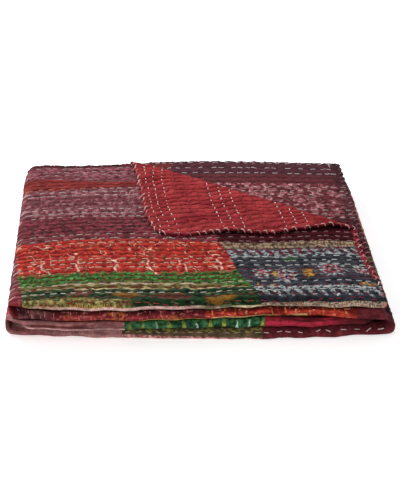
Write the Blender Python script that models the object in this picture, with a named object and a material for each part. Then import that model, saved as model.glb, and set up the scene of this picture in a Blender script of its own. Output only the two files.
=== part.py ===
"""A kantha quilt folded in four from front to back and in four from side to side.

The cloth is layers of old sari held together by rows of running stitch. It lies as a stack
with its hems at the back and at the right, and one corner of its top ply is turned back.

The cloth is drawn flat first, with a line wherever it will bend, and is then folded. A place on
the flat cloth is (u, v): u runs along the side-to-side folding and v along the front-to-back one,
both from the corner of the cloth that ends on top, at the back right. Metres, +Z up, and the
origin under the middle of the stack.
"""

import math
from collections import namedtuple

import bmesh
import bpy
from mathutils import Vector

# The cloth
CLOTH = 0.0020  # thickness
CORNER = 0.042  # radius of the corner that is turned back
CORNER_LENGTHS = 6
ROW = 0.0133  # from one quilting row to the next
RIDGE = 0.0007  # how far the cloth stands up between two rows
RIDGE_END = 0.008  # how near a fold the ridges run out
HEM = 0.006  # width of the rolled hem
HEM_SWELL = 0.0004  # how much the hem stands up

# The stack
PLY = 0.0026  # from one ply of a panel to the next
PANEL = 0.0113  # from one panel to the next
PANEL_THICK = 3 * PLY + CLOTH
NOSE = 1.5 * PLY  # radius of a panel's outer front fold, at the middle of the cloth
LEFT, RIGHT = -0.192, 0.2005
FRONT, BACK = -0.2245, 0.2260

# Front-to-back folding of the plies of a panel
PLY_RUNS = (
    # name, level in the panel, start, end
    ("top", 1.5 * PLY, BACK - 0.005, FRONT + NOSE),
    ("under", -1.5 * PLY, FRONT + NOSE, BACK - 0.006),
    ("inner", -0.5 * PLY, BACK - 0.006, FRONT + NOSE + 0.002),
    ("second", 0.5 * PLY, FRONT + NOSE + 0.002, BACK),
)
PLY_BEND_LENGTHS = (5, 3, 3)

# Side-to-side folding of the panels of the stack
PANEL_RUNS = (
    # name, level in the stack, start, end
    ("top", 3 * PANEL + PANEL_THICK / 2, RIGHT, LEFT),
    ("second", 2 * PANEL + PANEL_THICK / 2, LEFT, RIGHT - 0.0115),
    ("bottom", PANEL_THICK / 2, RIGHT - 0.0115, LEFT - 0.0025),
    ("inner", PANEL + PANEL_THICK / 2, LEFT - 0.0025, RIGHT - 0.022),
)
PANEL_BEND_LENGTHS = (5, 7, 5)
NO_LINE = 0.004  # a run gets no line this near its ends

# The top ply ends short of the ply under it at the right, so that both hems show.
TOP_HEM_IN = 0.007
TOP_HEM_REACH = 0.120

# How the stack sags: the height of the top of each panel's share of it, neat, and then as it
# lies at the front and at the back.
NEAT_HEIGHTS = (
    PANEL_THICK + (PANEL - PANEL_THICK) / 2,
    PANEL + PANEL_THICK + (PANEL - PANEL_THICK) / 2,
    2 * PANEL + PANEL_THICK + (PANEL - PANEL_THICK) / 2,
    3 * PANEL + PANEL_THICK,
)
FRONT_HEIGHTS = (
    # where across, bottom, inner, second, top
    (-0.205, 0.0145, 0.0240, 0.0320, 0.0390),
    (-0.150, 0.0125, 0.0235, 0.0342, 0.0440),
    (-0.040, 0.0132, 0.0240, 0.0350, 0.0462),
    (0.090, 0.0132, 0.0242, 0.0352, 0.0465),
    (0.145, 0.0130, 0.0240, 0.0348, 0.0458),
    (0.205, 0.0120, 0.0205, 0.0338, 0.0440),
)
BACK_HEIGHTS = (
    (-0.205, 0.0110, 0.0215, 0.0310, 0.0390),
    (-0.150, 0.0115, 0.0220, 0.0330, 0.0430),
    (-0.040, 0.0120, 0.0235, 0.0350, 0.0460),
    (0.090, 0.0115, 0.0225, 0.0335, 0.0440),
    (0.205, 0.0110, 0.0215, 0.0320, 0.0415),
)

# How far behind the stack's front line each panel's front fold lies, and how far behind its
# back line the back of the stack does.
EDGE_LINES = (
    # where across, top, second, bottom, inner, back
    (-0.205, 0.018, 0.013, 0.025, 0.010, 0.001),
    (-0.175, 0.010, 0.005, 0.018, 0.003, 0.000),
    (-0.150, 0.006, 0.001, 0.014, 0.001, -0.005),
    (-0.095, 0.000, -0.001, 0.009, -0.001, -0.006),
    (-0.040, 0.000, -0.003, 0.005, -0.001, 0.004),
    (0.025, 0.001, -0.001, 0.001, 0.000, 0.009),
    (0.090, 0.004, 0.005, -0.002, -0.001, 0.007),
    (0.145, 0.001, 0.000, 0.001, 0.001, 0.003),
    (0.205, -0.003, 0.000, 0.008, 0.004, 0.000),
)

# How the stack gives from front to back: how far its left and right ends draw in, how far the
# foot of each stands out under its top, and how much there is of the front's heights and of the
# front and back lines.
GIVES = (
    # where from front to back, left in, right in, left foot, right foot, heights, front, back
    (-0.235, 0.001, 0.000, 0.005, 0.0150, 1.00, 1.00, 0.00),
    (-0.180, 0.000, 0.000, 0.002, 0.0150, 0.90, 0.80, 0.00),
    (-0.060, 0.000, 0.000, 0.000, 0.0150, 0.50, 0.25, 0.00),
    (0.110, 0.000, 0.000, 0.000, 0.0150, 0.05, 0.00, 0.10),
    (0.198, 0.002, 0.000, 0.000, 0.0150, 0.00, 0.00, 0.80),
    (0.230, 0.006, 0.001, 0.000, 0.0150, 0.00, 0.00, 1.00),
)
END_REACH = 0.050  # how far in from an end the cloth still gives
FOOT_TOP = 0.023  # how high up the feet reach

# The corner turned back: how much of the back hem and of the right hem goes with it
FLAP_BACK = 0.2735
FLAP_SIDE = 0.2415
ROLL = 0.0020  # radius of its fold, at the middle of the cloth
ROLL_LENGTHS = 5
FLAP_LIES = 0.0038  # height of the corner over the cloth that it lies on, middle to middle
FLAP_FALL = 0.080  # how far from the fold the corner comes to that height
FLAP_SLIP = (-0.014, 0.002)  # how far the corner's point has slipped from where the fold throws it
FLAP_REACH = 0.175  # from the fold to the corner's point
WAVE = 0.0006  # lift and dip of the turned corner
WAVE_LENGTH = 0.125
WAVE_START = 0.050  # how far from the fold the wave is full
TIP_LIFT = 0.0035  # how far its end at the back hem stands up
TIP_REACH = 0.045
TIP_START = 0.020  # how far from the fold the lift is full
FOLD_CALM = 0.012  # how near its fold the ridges are pressed out

SHARP = math.radians(40)  # edges that turn more than this are drawn sharp
TINY = 1e-6

Part = namedtuple("Part", "begin centre level way radius side")


class FoldedLine:
    """A line of level runs joined by half-round bends, as a strip of cloth makes when it's folded.

    Its marks are where lines are drawn on the flat cloth: along each bend, and on each run
    wherever it passes one of the given places.
    """

    def __init__(self, runs, places, bend_lengths):
        self.parts = []
        self.marks = []
        self.starts = []
        self.ends = []
        gone = 0.0
        for i, (_, level, start, end) in enumerate(runs):
            long = abs(end - start)
            way = math.copysign(1, end - start)
            passed = sorted(way * (place - start) for place in places)
            self.parts.append(Part(gone, start, level, way, None, None))
            self.marks += [gone + far for far in passed if NO_LINE < far < long - NO_LINE]
            self.starts.append(gone)
            gone += long
            self.ends.append(gone)
            if i + 1 < len(runs):
                rise = runs[i + 1][1] - level
                radius = abs(rise) / 2
                side = math.copysign(1, -rise)
                step = math.pi * radius / bend_lengths[i]
                self.parts.append(Part(gone, end, level + rise / 2, way, radius, side))
                self.marks += [gone + step * k for k in range(bend_lengths[i] + 1)]
                gone += math.pi * radius
        self.length = gone

    def at(self, place):
        """Where the line is and which way the cloth's front faces there, each as (along, level)."""
        part = [p for p in self.parts if p.begin <= place + TINY][-1]
        gone = place - part.begin
        if part.radius is None:
            return (part.centre + part.way * gone, part.level), (0.0, -part.way)
        turn = gone / part.radius
        along = part.centre + part.way * part.radius * math.sin(turn)
        level = part.level + part.side * part.radius * math.cos(turn)
        return (along, level), (-part.side * math.sin(turn), -part.way * math.cos(turn))


ALONG = FoldedLine(PANEL_RUNS, [row[0] for row in EDGE_LINES], PANEL_BEND_LENGTHS)
ACROSS = FoldedLine(PLY_RUNS, [row[0] for row in GIVES], PLY_BEND_LENGTHS)
TOP_PLY = ACROSS.ends[0]
SIDE_FOLD = ALONG.starts[1]

# The fold of the turned corner on the flat cloth, and the way across it towards the corner
FLAP_START = Vector((FLAP_BACK, 0.0))
FLAP_WAY = Vector((-FLAP_BACK, FLAP_SIDE)).normalized()
TO_CORNER = Vector((-FLAP_WAY.y, FLAP_WAY.x))


def smooth(t):
    t = max(0.0, min(1.0, t))
    return t * t * (3 - 2 * t)


def read_table(rows, where):
    """The row of a table at a place between two of its rows."""
    where = max(rows[0][0], min(rows[-1][0], where))
    for low, high in zip(rows, rows[1:]):
        if where <= high[0]:
            t = (where - low[0]) / (high[0] - low[0])
            return [a + (b - a) * t for a, b in zip(low[1:], high[1:])]


def past_fold(u, v):
    """How far a place on the flat cloth lies past the fold of the turned corner."""
    return (Vector((u, v)) - FLAP_START).dot(TO_CORNER)


def in_from_hem(u, v):
    """How far a place on the top ply lies in from its nearest hem, rounded corner included."""
    if max(u, v) < CORNER:
        return CORNER - math.hypot(CORNER - u, CORNER - v)
    return min(u, v)


def on_top(p):
    return p.x < SIDE_FOLD and p.y < TOP_PLY


def everywhere(p):
    return True


def crease(cloth, point, way, inside):
    """Draws a straight line across the faces of the flat cloth whose middles are inside."""
    faces = [f for f in cloth.faces if inside(f.calc_center_median())]
    edges = list({e for f in faces for e in f.edges})
    points = list({p for f in faces for p in f.verts})
    bmesh.ops.bisect_plane(
        cloth,
        geom=points + edges + faces,
        dist=TINY,
        plane_co=Vector((point[0], point[1], 0)),
        plane_no=Vector((-way[1], way[0], 0)),
    )


def trim_corner(cloth):
    """Trims the corner of the top ply round."""
    for i in range(1, CORNER_LENGTHS):
        turn = math.pi / 2 * i / CORNER_LENGTHS
        out = Vector((-math.cos(turn), -math.sin(turn), 0))
        bmesh.ops.bisect_plane(
            cloth,
            geom=cloth.verts[:] + cloth.edges[:] + cloth.faces[:],
            dist=TINY,
            plane_co=Vector((CORNER, CORNER, 0)) + out * CORNER,
            plane_no=out,
            clear_outer=True,
        )


def flat_cloth():
    """The cut cloth laid flat, with a line wherever it will bend."""
    cloth = bmesh.new()
    wide, long = ALONG.length, ACROSS.length
    corners = ((0, 0), (wide, 0), (wide, long), (0, long))
    cloth.faces.new([cloth.verts.new((u, v, 0)) for u, v in corners])
    for u in ALONG.marks:
        crease(cloth, (u, 0), (0, 1), everywhere)
    for v in ACROSS.marks:
        crease(cloth, (0, v), (1, 0), everywhere)
    for i in range(int((TOP_PLY - HEM) / ROW * 2)):
        crease(cloth, (0, HEM + i * ROW / 2), (1, 0), on_top)
    crease(cloth, (HEM, 0), (0, 1), on_top)
    for i in range(ROLL_LENGTHS + 1):
        gone = math.pi * ROLL * i / ROLL_LENGTHS
        crease(cloth, FLAP_START + TO_CORNER * gone, FLAP_WAY, on_top)
    trim_corner(cloth)
    bmesh.ops.triangulate(cloth, faces=cloth.faces[:], ngon_method="EAR_CLIP")
    return cloth


def stands_off(u, v, side):
    """How far the cloth's front, side 1, or back, side -1, stands off its middle."""
    off = CLOTH / 2
    if u < SIDE_FOLD and v < TOP_PLY:
        turned = past_fold(u, v) > 0
        if side > 0 or turned:
            off += HEM_SWELL * (1 - smooth(in_from_hem(u, v) / HEM))
        if side > 0 and not turned and min(u, v) > HEM:
            ends = smooth((SIDE_FOLD - u) / RIDGE_END) * smooth((TOP_PLY - v) / RIDGE_END)
            ends *= smooth(-past_fold(u, v) / FOLD_CALM)
            off += RIDGE * ends * (0.5 - 0.5 * math.cos(2 * math.pi * (v - HEM) / ROW))
    return side * off


def folded(u, v, off):
    """Where a place on the flat cloth lies in the neat stack, so far off the cloth's middle."""
    (y, level), (face_y, face_level) = ACROSS.at(v)
    hem_in = TOP_HEM_IN * (1 - smooth(u / TOP_HEM_REACH)) if v < TOP_PLY else 0.0
    (x, z), (face_x, face_z) = ALONG.at(u + hem_in)
    y += off * face_y
    level += off * face_level
    return Vector((x + level * face_x, y, z + level * face_z))


def turned_back(u, v, off):
    """Where a place in the turned corner lies: round its fold, then back over the top ply."""
    past = past_fold(u, v)
    foot = Vector((u, v)) - TO_CORNER * past
    base = folded(foot.x, foot.y, 0)
    out = Vector((-TO_CORNER.x, -TO_CORNER.y, 0))
    up = Vector((0, 0, 1))
    if past < math.pi * ROLL:
        turn = past / ROLL
        face = up * math.cos(turn) - out * math.sin(turn)
        return base + out * ROLL * math.sin(turn) + up * ROLL * (1 - math.cos(turn)) + face * off
    gone = past - math.pi * ROLL
    along = (foot - FLAP_START).length
    lift = WAVE * math.sin(2 * math.pi * along / WAVE_LENGTH) * smooth(gone / WAVE_START)
    lift += TIP_LIFT * (1 - smooth(along / TIP_REACH)) * smooth(gone / TIP_START)
    rise = 2 * ROLL + (FLAP_LIES - 2 * ROLL) * smooth(gone / FLAP_FALL) + lift
    slip = Vector((FLAP_SLIP[0], FLAP_SLIP[1], 0)) * gone / FLAP_REACH
    return base - out * gone + slip + up * (rise - off)


def sagged(z, heights):
    """A height in the neat stack, moved with the tops of the panels above and below it."""
    was, now = 0.0, 0.0
    for neat, lies in zip(NEAT_HEIGHTS, heights):
        if z <= neat:
            return now + (z - was) * (lies - now) / (neat - was)
        was, now = neat, lies
    return now + z - was


def front_edge(u, lines):
    """How far back the front fold lies at u, from the front lines of the panels."""
    for line, next_line, end, start in zip(lines, lines[1:], ALONG.ends, ALONG.starts[1:]):
        if u < start:
            return line + (next_line - line) * smooth((u - end) / (start - end))
    return lines[-1]


def settled(p, u):
    """The same place once the stack has sagged and its folds have given, as a folded quilt's do."""
    left_in, right_in, left_foot, right_foot, of_heights, of_front, of_back = read_table(GIVES, p.y)
    near_left = smooth((LEFT + END_REACH - p.x) / END_REACH)
    near_right = smooth((p.x - RIGHT + END_REACH) / END_REACH)
    low = max(0.0, 1 - p.z / FOOT_TOP)
    x = p.x + (left_in - left_foot * low) * near_left + (right_foot * low - right_in) * near_right
    front = read_table(FRONT_HEIGHTS, p.x)
    back = read_table(BACK_HEIGHTS, p.x)
    heights = [b + (f - b) * of_heights for f, b in zip(front, back)]
    *front_lines, back_line = read_table(EDGE_LINES, p.x)
    y = p.y + front_edge(u, front_lines) * of_front + back_line * of_back
    return Vector((x, y, sagged(p.z, heights)))


def lies_at(u, v, side):
    """Where a place on the cloth's front, side 1, or back, side -1, lies in the folded quilt."""
    off = stands_off(u, v, side)
    turned = v < TOP_PLY and past_fold(u, v) > 0
    return settled(turned_back(u, v, off) if turned else folded(u, v, off), u)


def quilt_solid():
    """The folded cloth as one closed body: its front, its back and the edge between them."""
    flat = flat_cloth()
    solid = bmesh.new()
    fronts, backs = {}, {}
    for p in flat.verts:
        fronts[p] = solid.verts.new(lies_at(p.co.x, p.co.y, 1))
        backs[p] = solid.verts.new(lies_at(p.co.x, p.co.y, -1))
    for f in flat.faces:
        solid.faces.new([fronts[p] for p in f.verts])
        solid.faces.new([backs[p] for p in reversed(f.verts)])
    for e in flat.edges:
        if e.is_boundary:
            a = e.link_loops[0].vert
            b = e.other_vert(a)
            solid.faces.new((fronts[b], fronts[a], backs[a]))
            solid.faces.new((fronts[b], backs[a], backs[b]))
    flat.free()
    return solid


def stand_over_origin(solid):
    """Moves the body so that the middle of its box's underside is the origin."""
    low = Vector([min(p.co[i] for p in solid.verts) for i in range(3)])
    high = Vector([max(p.co[i] for p in solid.verts) for i in range(3)])
    middle = Vector(((low.x + high.x) / 2, (low.y + high.y) / 2, low.z))
    bmesh.ops.translate(solid, verts=solid.verts[:], vec=-middle)


def cloth_material():
    material = bpy.data.materials.new("kantha_cloth")
    material.use_nodes = True
    shader = material.node_tree.nodes["Principled BSDF"]
    shader.inputs["Base Color"].default_value = (0.19, 0.045, 0.055, 1)
    shader.inputs["Roughness"].default_value = 0.9
    shader.inputs["Metallic"].default_value = 0.0
    return material


def main():
    for obj in list(bpy.data.objects):
        bpy.data.objects.remove(obj)
    solid = quilt_solid()
    stand_over_origin(solid)
    mesh = bpy.data.meshes.new("quilt")
    solid.to_mesh(mesh)
    solid.free()
    mesh.materials.append(cloth_material())
    mesh.shade_smooth()
    mesh.set_sharp_from_angle(angle=SHARP)
    bpy.context.scene.collection.objects.link(bpy.data.objects.new("quilt", mesh))


main()
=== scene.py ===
"""A kantha quilt folded into a pile, with one corner of its top ply turned back.

Places on the cloth are given as it lies open: u along its side-to-side folding and v along its
front-to-back one, both from the corner that ends on top. Metres throughout, +Z up.
"""
import math

import bmesh
import bpy
import numpy as np
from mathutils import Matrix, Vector


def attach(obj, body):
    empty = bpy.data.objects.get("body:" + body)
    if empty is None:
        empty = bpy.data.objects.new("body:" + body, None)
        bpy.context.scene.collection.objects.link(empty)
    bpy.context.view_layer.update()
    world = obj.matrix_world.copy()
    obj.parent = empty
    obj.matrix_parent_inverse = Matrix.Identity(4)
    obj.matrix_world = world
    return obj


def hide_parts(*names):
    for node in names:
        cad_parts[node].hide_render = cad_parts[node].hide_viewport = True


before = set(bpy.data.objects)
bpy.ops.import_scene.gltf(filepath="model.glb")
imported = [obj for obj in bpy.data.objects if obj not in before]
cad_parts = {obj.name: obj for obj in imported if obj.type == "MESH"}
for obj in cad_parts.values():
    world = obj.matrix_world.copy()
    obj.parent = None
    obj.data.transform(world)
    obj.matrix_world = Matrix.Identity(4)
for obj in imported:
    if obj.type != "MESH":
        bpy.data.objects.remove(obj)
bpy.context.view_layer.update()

# ---------------------------------------------------------------------------------------------
# The cloth. Layers of old sari are run together with rows of stitches into one limp sheet with a
# patched face and a plain back, hemmed all round. It is folded in four from front to back, then
# in four from side to side, and the corner that ends on top is turned back over the pile.
# ---------------------------------------------------------------------------------------------
CLOTH = 0.0022
CORNER = 0.042
CORNER_CUTS = 10
HEM = 0.006
HEM_SWELL = 0.0003
HEM_NOTCHES, HEM_DRAWN = 0.0165, 0.0021
PLY = 0.0026
PANEL = 0.0113
PANEL_THICK = 3 * PLY + 0.0020
NOSE = 1.5 * PLY
LEFT, RIGHT = -0.192, 0.2005
FRONT, BACK = -0.2245, 0.2260
TINY = 1e-6
PLY_RUNS = (
    # level in the panel, start, end
    (1.5 * PLY, BACK - 0.005, FRONT + NOSE),
    (-1.5 * PLY, FRONT + NOSE, BACK - 0.006),
    (-0.5 * PLY, BACK - 0.006, FRONT + NOSE + 0.002),
    (0.5 * PLY, FRONT + NOSE + 0.002, BACK),
)
PANEL_RUNS = (
    # level in the pile, start, end
    (3 * PANEL + PANEL_THICK / 2, RIGHT, LEFT),
    (2 * PANEL + PANEL_THICK / 2, LEFT, RIGHT - 0.0115),
    (PANEL_THICK / 2, RIGHT - 0.0115, LEFT - 0.0025),
    (PANEL + PANEL_THICK / 2, LEFT - 0.0025, RIGHT - 0.022),
)
TOP_HEM_IN = 0.007
TOP_HEM_REACH = 0.120
TOP_HEM_UNTIL, TOP_HEM_ENDS = 0.310, 0.090
NEAT_HEIGHTS = np.array(
    [PANEL_THICK + (PANEL - PANEL_THICK) / 2 + k * PANEL for k in range(3)] + [3 * PANEL + PANEL_THICK]
)
FRONT_HEIGHTS = (
    # where across, bottom, inner, second, top
    (-0.205, 0.0145, 0.0240, 0.0320, 0.0390),
    (-0.150, 0.0125, 0.0235, 0.0342, 0.0440),
    (-0.040, 0.0132, 0.0240, 0.0350, 0.0462),
    (0.090, 0.0132, 0.0242, 0.0352, 0.0465),
    (0.145, 0.0130, 0.0240, 0.0348, 0.0458),
    (0.205, 0.0118, 0.0160, 0.0338, 0.0440),
)
BACK_HEIGHTS = (
    (-0.205, 0.0110, 0.0215, 0.0320, 0.0415),
    (-0.180, 0.0115, 0.0220, 0.0335, 0.0448),
    (-0.150, 0.0115, 0.0220, 0.0335, 0.0444),
    (-0.110, 0.0115, 0.0225, 0.0340, 0.0452),
    (-0.040, 0.0120, 0.0235, 0.0350, 0.0460),
    (0.090, 0.0115, 0.0225, 0.0335, 0.0440),
    (0.205, 0.0110, 0.0215, 0.0320, 0.0415),
)
EDGE_LINES = (
    # where across, top, second, bottom, inner, back
    (-0.205, 0.018, 0.013, 0.025, 0.010, 0.001),
    (-0.175, 0.010, 0.005, 0.018, 0.003, 0.000),
    (-0.150, 0.006, 0.001, 0.014, 0.001, -0.005),
    (-0.095, 0.000, -0.001, 0.009, -0.001, -0.006),
    (-0.040, 0.000, -0.003, 0.005, -0.001, 0.004),
    (0.025, 0.001, -0.001, 0.001, 0.000, 0.009),
    (0.090, 0.004, 0.005, -0.002, -0.001, 0.007),
    (0.145, 0.001, 0.000, 0.001, 0.001, 0.003),
    (0.205, -0.003, 0.000, 0.008, 0.004, 0.000),
)
GIVES = (
    # where from front to back, left in, right in, left foot, right foot, heights, front, back
    (-0.235, 0.001, 0.000, 0.005, 0.0150, 1.00, 1.00, 0.00),
    (-0.180, 0.000, 0.000, 0.002, 0.0150, 0.90, 0.80, 0.00),
    (-0.060, 0.000, 0.000, 0.000, 0.0150, 0.50, 0.25, 0.00),
    (0.110, 0.000, 0.000, 0.000, 0.0150, 0.05, 0.00, 0.10),
    (0.198, 0.000, 0.000, 0.000, 0.0150, 0.00, 0.00, 0.80),
    (0.230, 0.003, 0.001, 0.000, 0.0150, 0.00, 0.00, 1.00),
)
END_REACH = 0.050
FOOT_TOP = 0.023
FLAP_BACK, FLAP_SIDE = 0.2735, 0.2415
ROLL = 0.0020
ROLL_CUTS = 8
FLAP_LIES = 0.0038
FLAP_FALL = 0.080
FLAP_SLIP = (-0.014, 0.002, 0.0)
FLAP_REACH = 0.175
WAVE, WAVE_LENGTH, WAVE_START = 0.0006, 0.125, 0.050
TIP_LIFT, TIP_REACH, TIP_START = 0.0052, 0.045, 0.020
OVER_ORIGIN = np.array([-0.00301, -0.00331, 0.0])
FLAP_LEFT_HEM = (
    # where along the hem, how far it lies to the right of straight
    (0.008, 0.000), (0.020, 0.002), (0.030, 0.0042), (0.042, 0.0050), (0.052, 0.0035), (0.065, 0.0016),
    (0.089, 0.0009), (0.112, 0.0020), (0.136, 0.0012), (0.160, 0.0026), (0.183, 0.0012), (0.207, 0.0024),
    (0.230, 0.0010), (0.254, 0.0008), (0.274, 0.000),
)
FLAP_FRONT_HEM = (
    # where along the hem, how far it lies back of straight, how far it's lifted
    (0.030, 0.0000, 0.0000), (0.050, -0.0008, 0.0002), (0.070, 0.0020, 0.0006), (0.092, 0.0040, 0.0010),
    (0.103, 0.0004, 0.0004), (0.114, -0.0050, 0.0000), (0.138, -0.0100, 0.0000), (0.150, -0.0068, 0.0002),
    (0.164, -0.0026, 0.0008), (0.180, 0.0014, 0.0012), (0.193, 0.0040, 0.0015), (0.207, 0.0062, 0.0024),
    (0.221, 0.0086, 0.0034), (0.230, 0.0070, 0.0030), (0.238, 0.0024, 0.0012), (0.242, 0.0, 0.0),
)
HEM_WAVES_IN = 0.055
HOLLOWS = (
    # where the folds gape at the front: where across, how high, half its width and height, how deep,
    # how far it opens
    (-0.1960, 0.0322, 0.010, 0.0030, 0.022, 0.0008),
    (-0.1985, 0.0142, 0.010, 0.0042, 0.026, 0.0016),
    (-0.1400, 0.0078, 0.050, 0.0011, 0.0035, 0.0),
    (0.1350, 0.0300, 0.050, 0.0010, 0.0030, 0.0),
    (0.1935, 0.0150, 0.011, 0.0032, 0.0180, 0.0012),
    (0.0600, 0.0070, 0.120, 0.0009, 0.0020, 0.0),
)
LIP_GAP = 0.0006
RESTS_AT, THREAD_RESTS_AT = 0.0004, 0.0007
LAST_PLY_REACHES = 0.008


def smooth(t):
    t = np.clip(t, 0.0, 1.0)
    return t * t * (3 - 2 * t)


def read_table(rows, where, soften=0.012):
    """A table's columns at places between its rows, its corners taken off."""
    rows = np.array(rows)
    nearby = np.linspace(-soften, soften, 5)
    return [
        sum(np.interp(where + near, rows[:, 0], column) for near in nearby) / len(nearby)
        for column in rows.T[1:]
    ]


class FoldedLine:
    """A line of level runs joined by half-round bends, as a strip of cloth makes when it's folded."""

    def __init__(self, runs):
        begin, centre, level, way, radius, side = [], [], [], [], [], []
        self.starts, self.ends = [], []
        gone = 0.0
        for i, (height, start, end) in enumerate(runs):
            begin.append(gone)
            centre.append(start)
            level.append(height)
            way.append(math.copysign(1, end - start))
            radius.append(0.0)
            side.append(0.0)
            self.starts.append(gone)
            gone += abs(end - start)
            self.ends.append(gone)
            if i + 1 < len(runs):
                rise = runs[i + 1][0] - height
                begin.append(gone)
                centre.append(end)
                level.append(height + rise / 2)
                way.append(way[-1])
                radius.append(abs(rise) / 2)
                side.append(math.copysign(1, -rise))
                gone += math.pi * abs(rise) / 2
        self.length = gone
        self.begin = np.array(begin)
        self.parts = np.array([begin, centre, level, way, radius, side])

    def at(self, place):
        """Where the line is and which way the cloth's face looks there."""
        part = np.clip(np.searchsorted(self.begin, place + TINY, "right") - 1, 0, None)
        begin, centre, level, way, radius, side = self.parts[:, part]
        gone = place - begin
        bent = radius > 0
        turn = np.where(bent, gone / np.where(bent, radius, 1), 0)
        along = centre + way * np.where(bent, radius * np.sin(turn), gone)
        height = level + side * radius * np.cos(turn)
        return along, height, np.where(bent, -side * np.sin(turn), 0), -way * np.cos(turn)


ALONG = FoldedLine(PANEL_RUNS)
ACROSS = FoldedLine(PLY_RUNS)
WIDE, LONG = ALONG.length, ACROSS.length
TOP_PLY = ACROSS.ends[0]
SIDE_FOLD = ALONG.starts[1]
FLAP_START = np.array([FLAP_BACK, 0.0])
FLAP_WAY = np.array([-FLAP_BACK, FLAP_SIDE]) / math.hypot(FLAP_BACK, FLAP_SIDE)
TO_CORNER = np.array([-FLAP_WAY[1], FLAP_WAY[0]])


def past_fold(u, v):
    return (u - FLAP_START[0]) * TO_CORNER[0] + (v - FLAP_START[1]) * TO_CORNER[1]


def in_from_hem(u, v):
    """How far a place lies in from the nearest edge of the cloth."""
    inside = np.minimum(np.minimum(u, WIDE - u), np.minimum(v, LONG - v))
    rounded = CORNER - np.hypot(CORNER - u, CORNER - v)
    return np.where(np.maximum(u, v) < CORNER, rounded, inside)


def folded(u, v, off):
    y, level, face_y, face_level = ACROSS.at(v)
    hem_in = TOP_HEM_IN * (1 - smooth(u / TOP_HEM_REACH)) * (1 - smooth((v - TOP_HEM_UNTIL) / TOP_HEM_ENDS))
    x, z, face_x, face_z = ALONG.at(u + hem_in)
    y = y + off * face_y
    level = level + off * face_level
    return np.stack([x + level * face_x, y, z + level * face_z], axis=-1)


def turned_back(u, v, off):
    """The turned corner: round its fold, then back over the top ply."""
    past = past_fold(u, v)
    foot_u, foot_v = u - TO_CORNER[0] * past, v - TO_CORNER[1] * past
    base = folded(foot_u, foot_v, np.zeros_like(u))
    out = np.array([-TO_CORNER[0], -TO_CORNER[1], 0.0])
    up = np.array([0.0, 0.0, 1.0])
    turn = np.clip(past / ROLL, 0, math.pi)
    round_fold = (
        base
        + out * (ROLL * np.sin(turn) - off * np.sin(turn))[..., None]
        + up * (ROLL * (1 - np.cos(turn)) + off * np.cos(turn))[..., None]
    )
    gone = np.maximum(past - math.pi * ROLL, 0)
    along = np.hypot(foot_u - FLAP_START[0], foot_v - FLAP_START[1])
    lift = WAVE * np.sin(2 * math.pi * along / WAVE_LENGTH) * smooth(gone / WAVE_START)
    lift += TIP_LIFT * (1 - smooth(along / TIP_REACH)) * smooth(gone / TIP_START)
    rise = 2 * ROLL + (FLAP_LIES - 2 * ROLL) * smooth(gone / FLAP_FALL) + lift
    slip = np.array(FLAP_SLIP) * (gone / FLAP_REACH)[..., None]
    near_left = (1 - smooth(v / HEM_WAVES_IN)) * smooth(gone / TIP_START)
    near_front = (1 - smooth(u / HEM_WAVES_IN)) * smooth(gone / TIP_START)
    to_right = read_table(FLAP_LEFT_HEM, u, 0.003)[0] * near_left
    to_back, lifted = read_table(FLAP_FRONT_HEM, v, 0.003)
    waves = np.stack([to_right, to_back * near_front, lifted * near_front], axis=-1)
    over = base - out * gone[..., None] + slip + waves + up * (rise - off)[..., None]
    return np.where((past < math.pi * ROLL)[..., None], round_fold, over)


def settled(p, u):
    """The same places once the pile has sagged and its folds have given."""
    x, y, z = p[..., 0], p[..., 1], p[..., 2]
    left_in, right_in, left_foot, right_foot, of_heights, of_front, of_back = read_table(GIVES, y)
    near_left = smooth((LEFT + END_REACH - x) / END_REACH)
    near_right = smooth((x - RIGHT + END_REACH) / END_REACH)
    low = np.maximum(0.0, 1 - z / FOOT_TOP)
    lies_x = x + (left_in - left_foot * low) * near_left + (right_foot * low - right_in) * near_right
    *lines, back_line = read_table(EDGE_LINES, x)
    front_line = lines[0]
    for line, next_line, end, start in zip(lines, lines[1:], ALONG.ends, ALONG.starts[1:]):
        front_line = front_line + (next_line - line) * smooth((u - end) / (start - end))
    lies_y = y + front_line * of_front + back_line * of_back
    lies_x = lies_x + LAST_PLY_REACHES * smooth((u - WIDE + 0.09) / 0.09)
    at_front = smooth((FRONT + 0.030 - y) / 0.030)
    lies_y = lies_y + 0.0011 * drift(u, 0.0, 0.042, 21) * at_front
    lip_lift = 0.0006 * drift(u, 0.0, 0.034, 22) * at_front
    front, back = read_table(FRONT_HEIGHTS, x), read_table(BACK_HEIGHTS, x)
    lies_z = z - NEAT_HEIGHTS[-1] + back[-1] + (front[-1] - back[-1]) * of_heights
    was, now = NEAT_HEIGHTS[-1], back[-1] + (front[-1] - back[-1]) * of_heights
    for k in (2, 1, 0, -1):
        under = NEAT_HEIGHTS[k] if k >= 0 else 0.0
        lies = back[k] + (front[k] - back[k]) * of_heights if k >= 0 else np.zeros_like(z)
        lies_z = np.where(z <= was, lies + (z - under) * (now - lies) / (was - under), lies_z)
        was, now = under, lies
    lies_z = lies_z + lip_lift * smooth(lies_z / 0.006)
    for hollow_x, hollow_z, wide, high, deep, opens in HOLLOWS:
        above = lies_z - hollow_z
        near = np.exp(-(((lies_x - hollow_x) / wide) ** 2 + (above / high) ** 2)) * at_front
        lies_y = lies_y + deep * near
        lies_z = lies_z + opens * np.tanh(above / LIP_GAP) * near
    return np.stack([lies_x, lies_y, lies_z], axis=-1)


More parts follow.
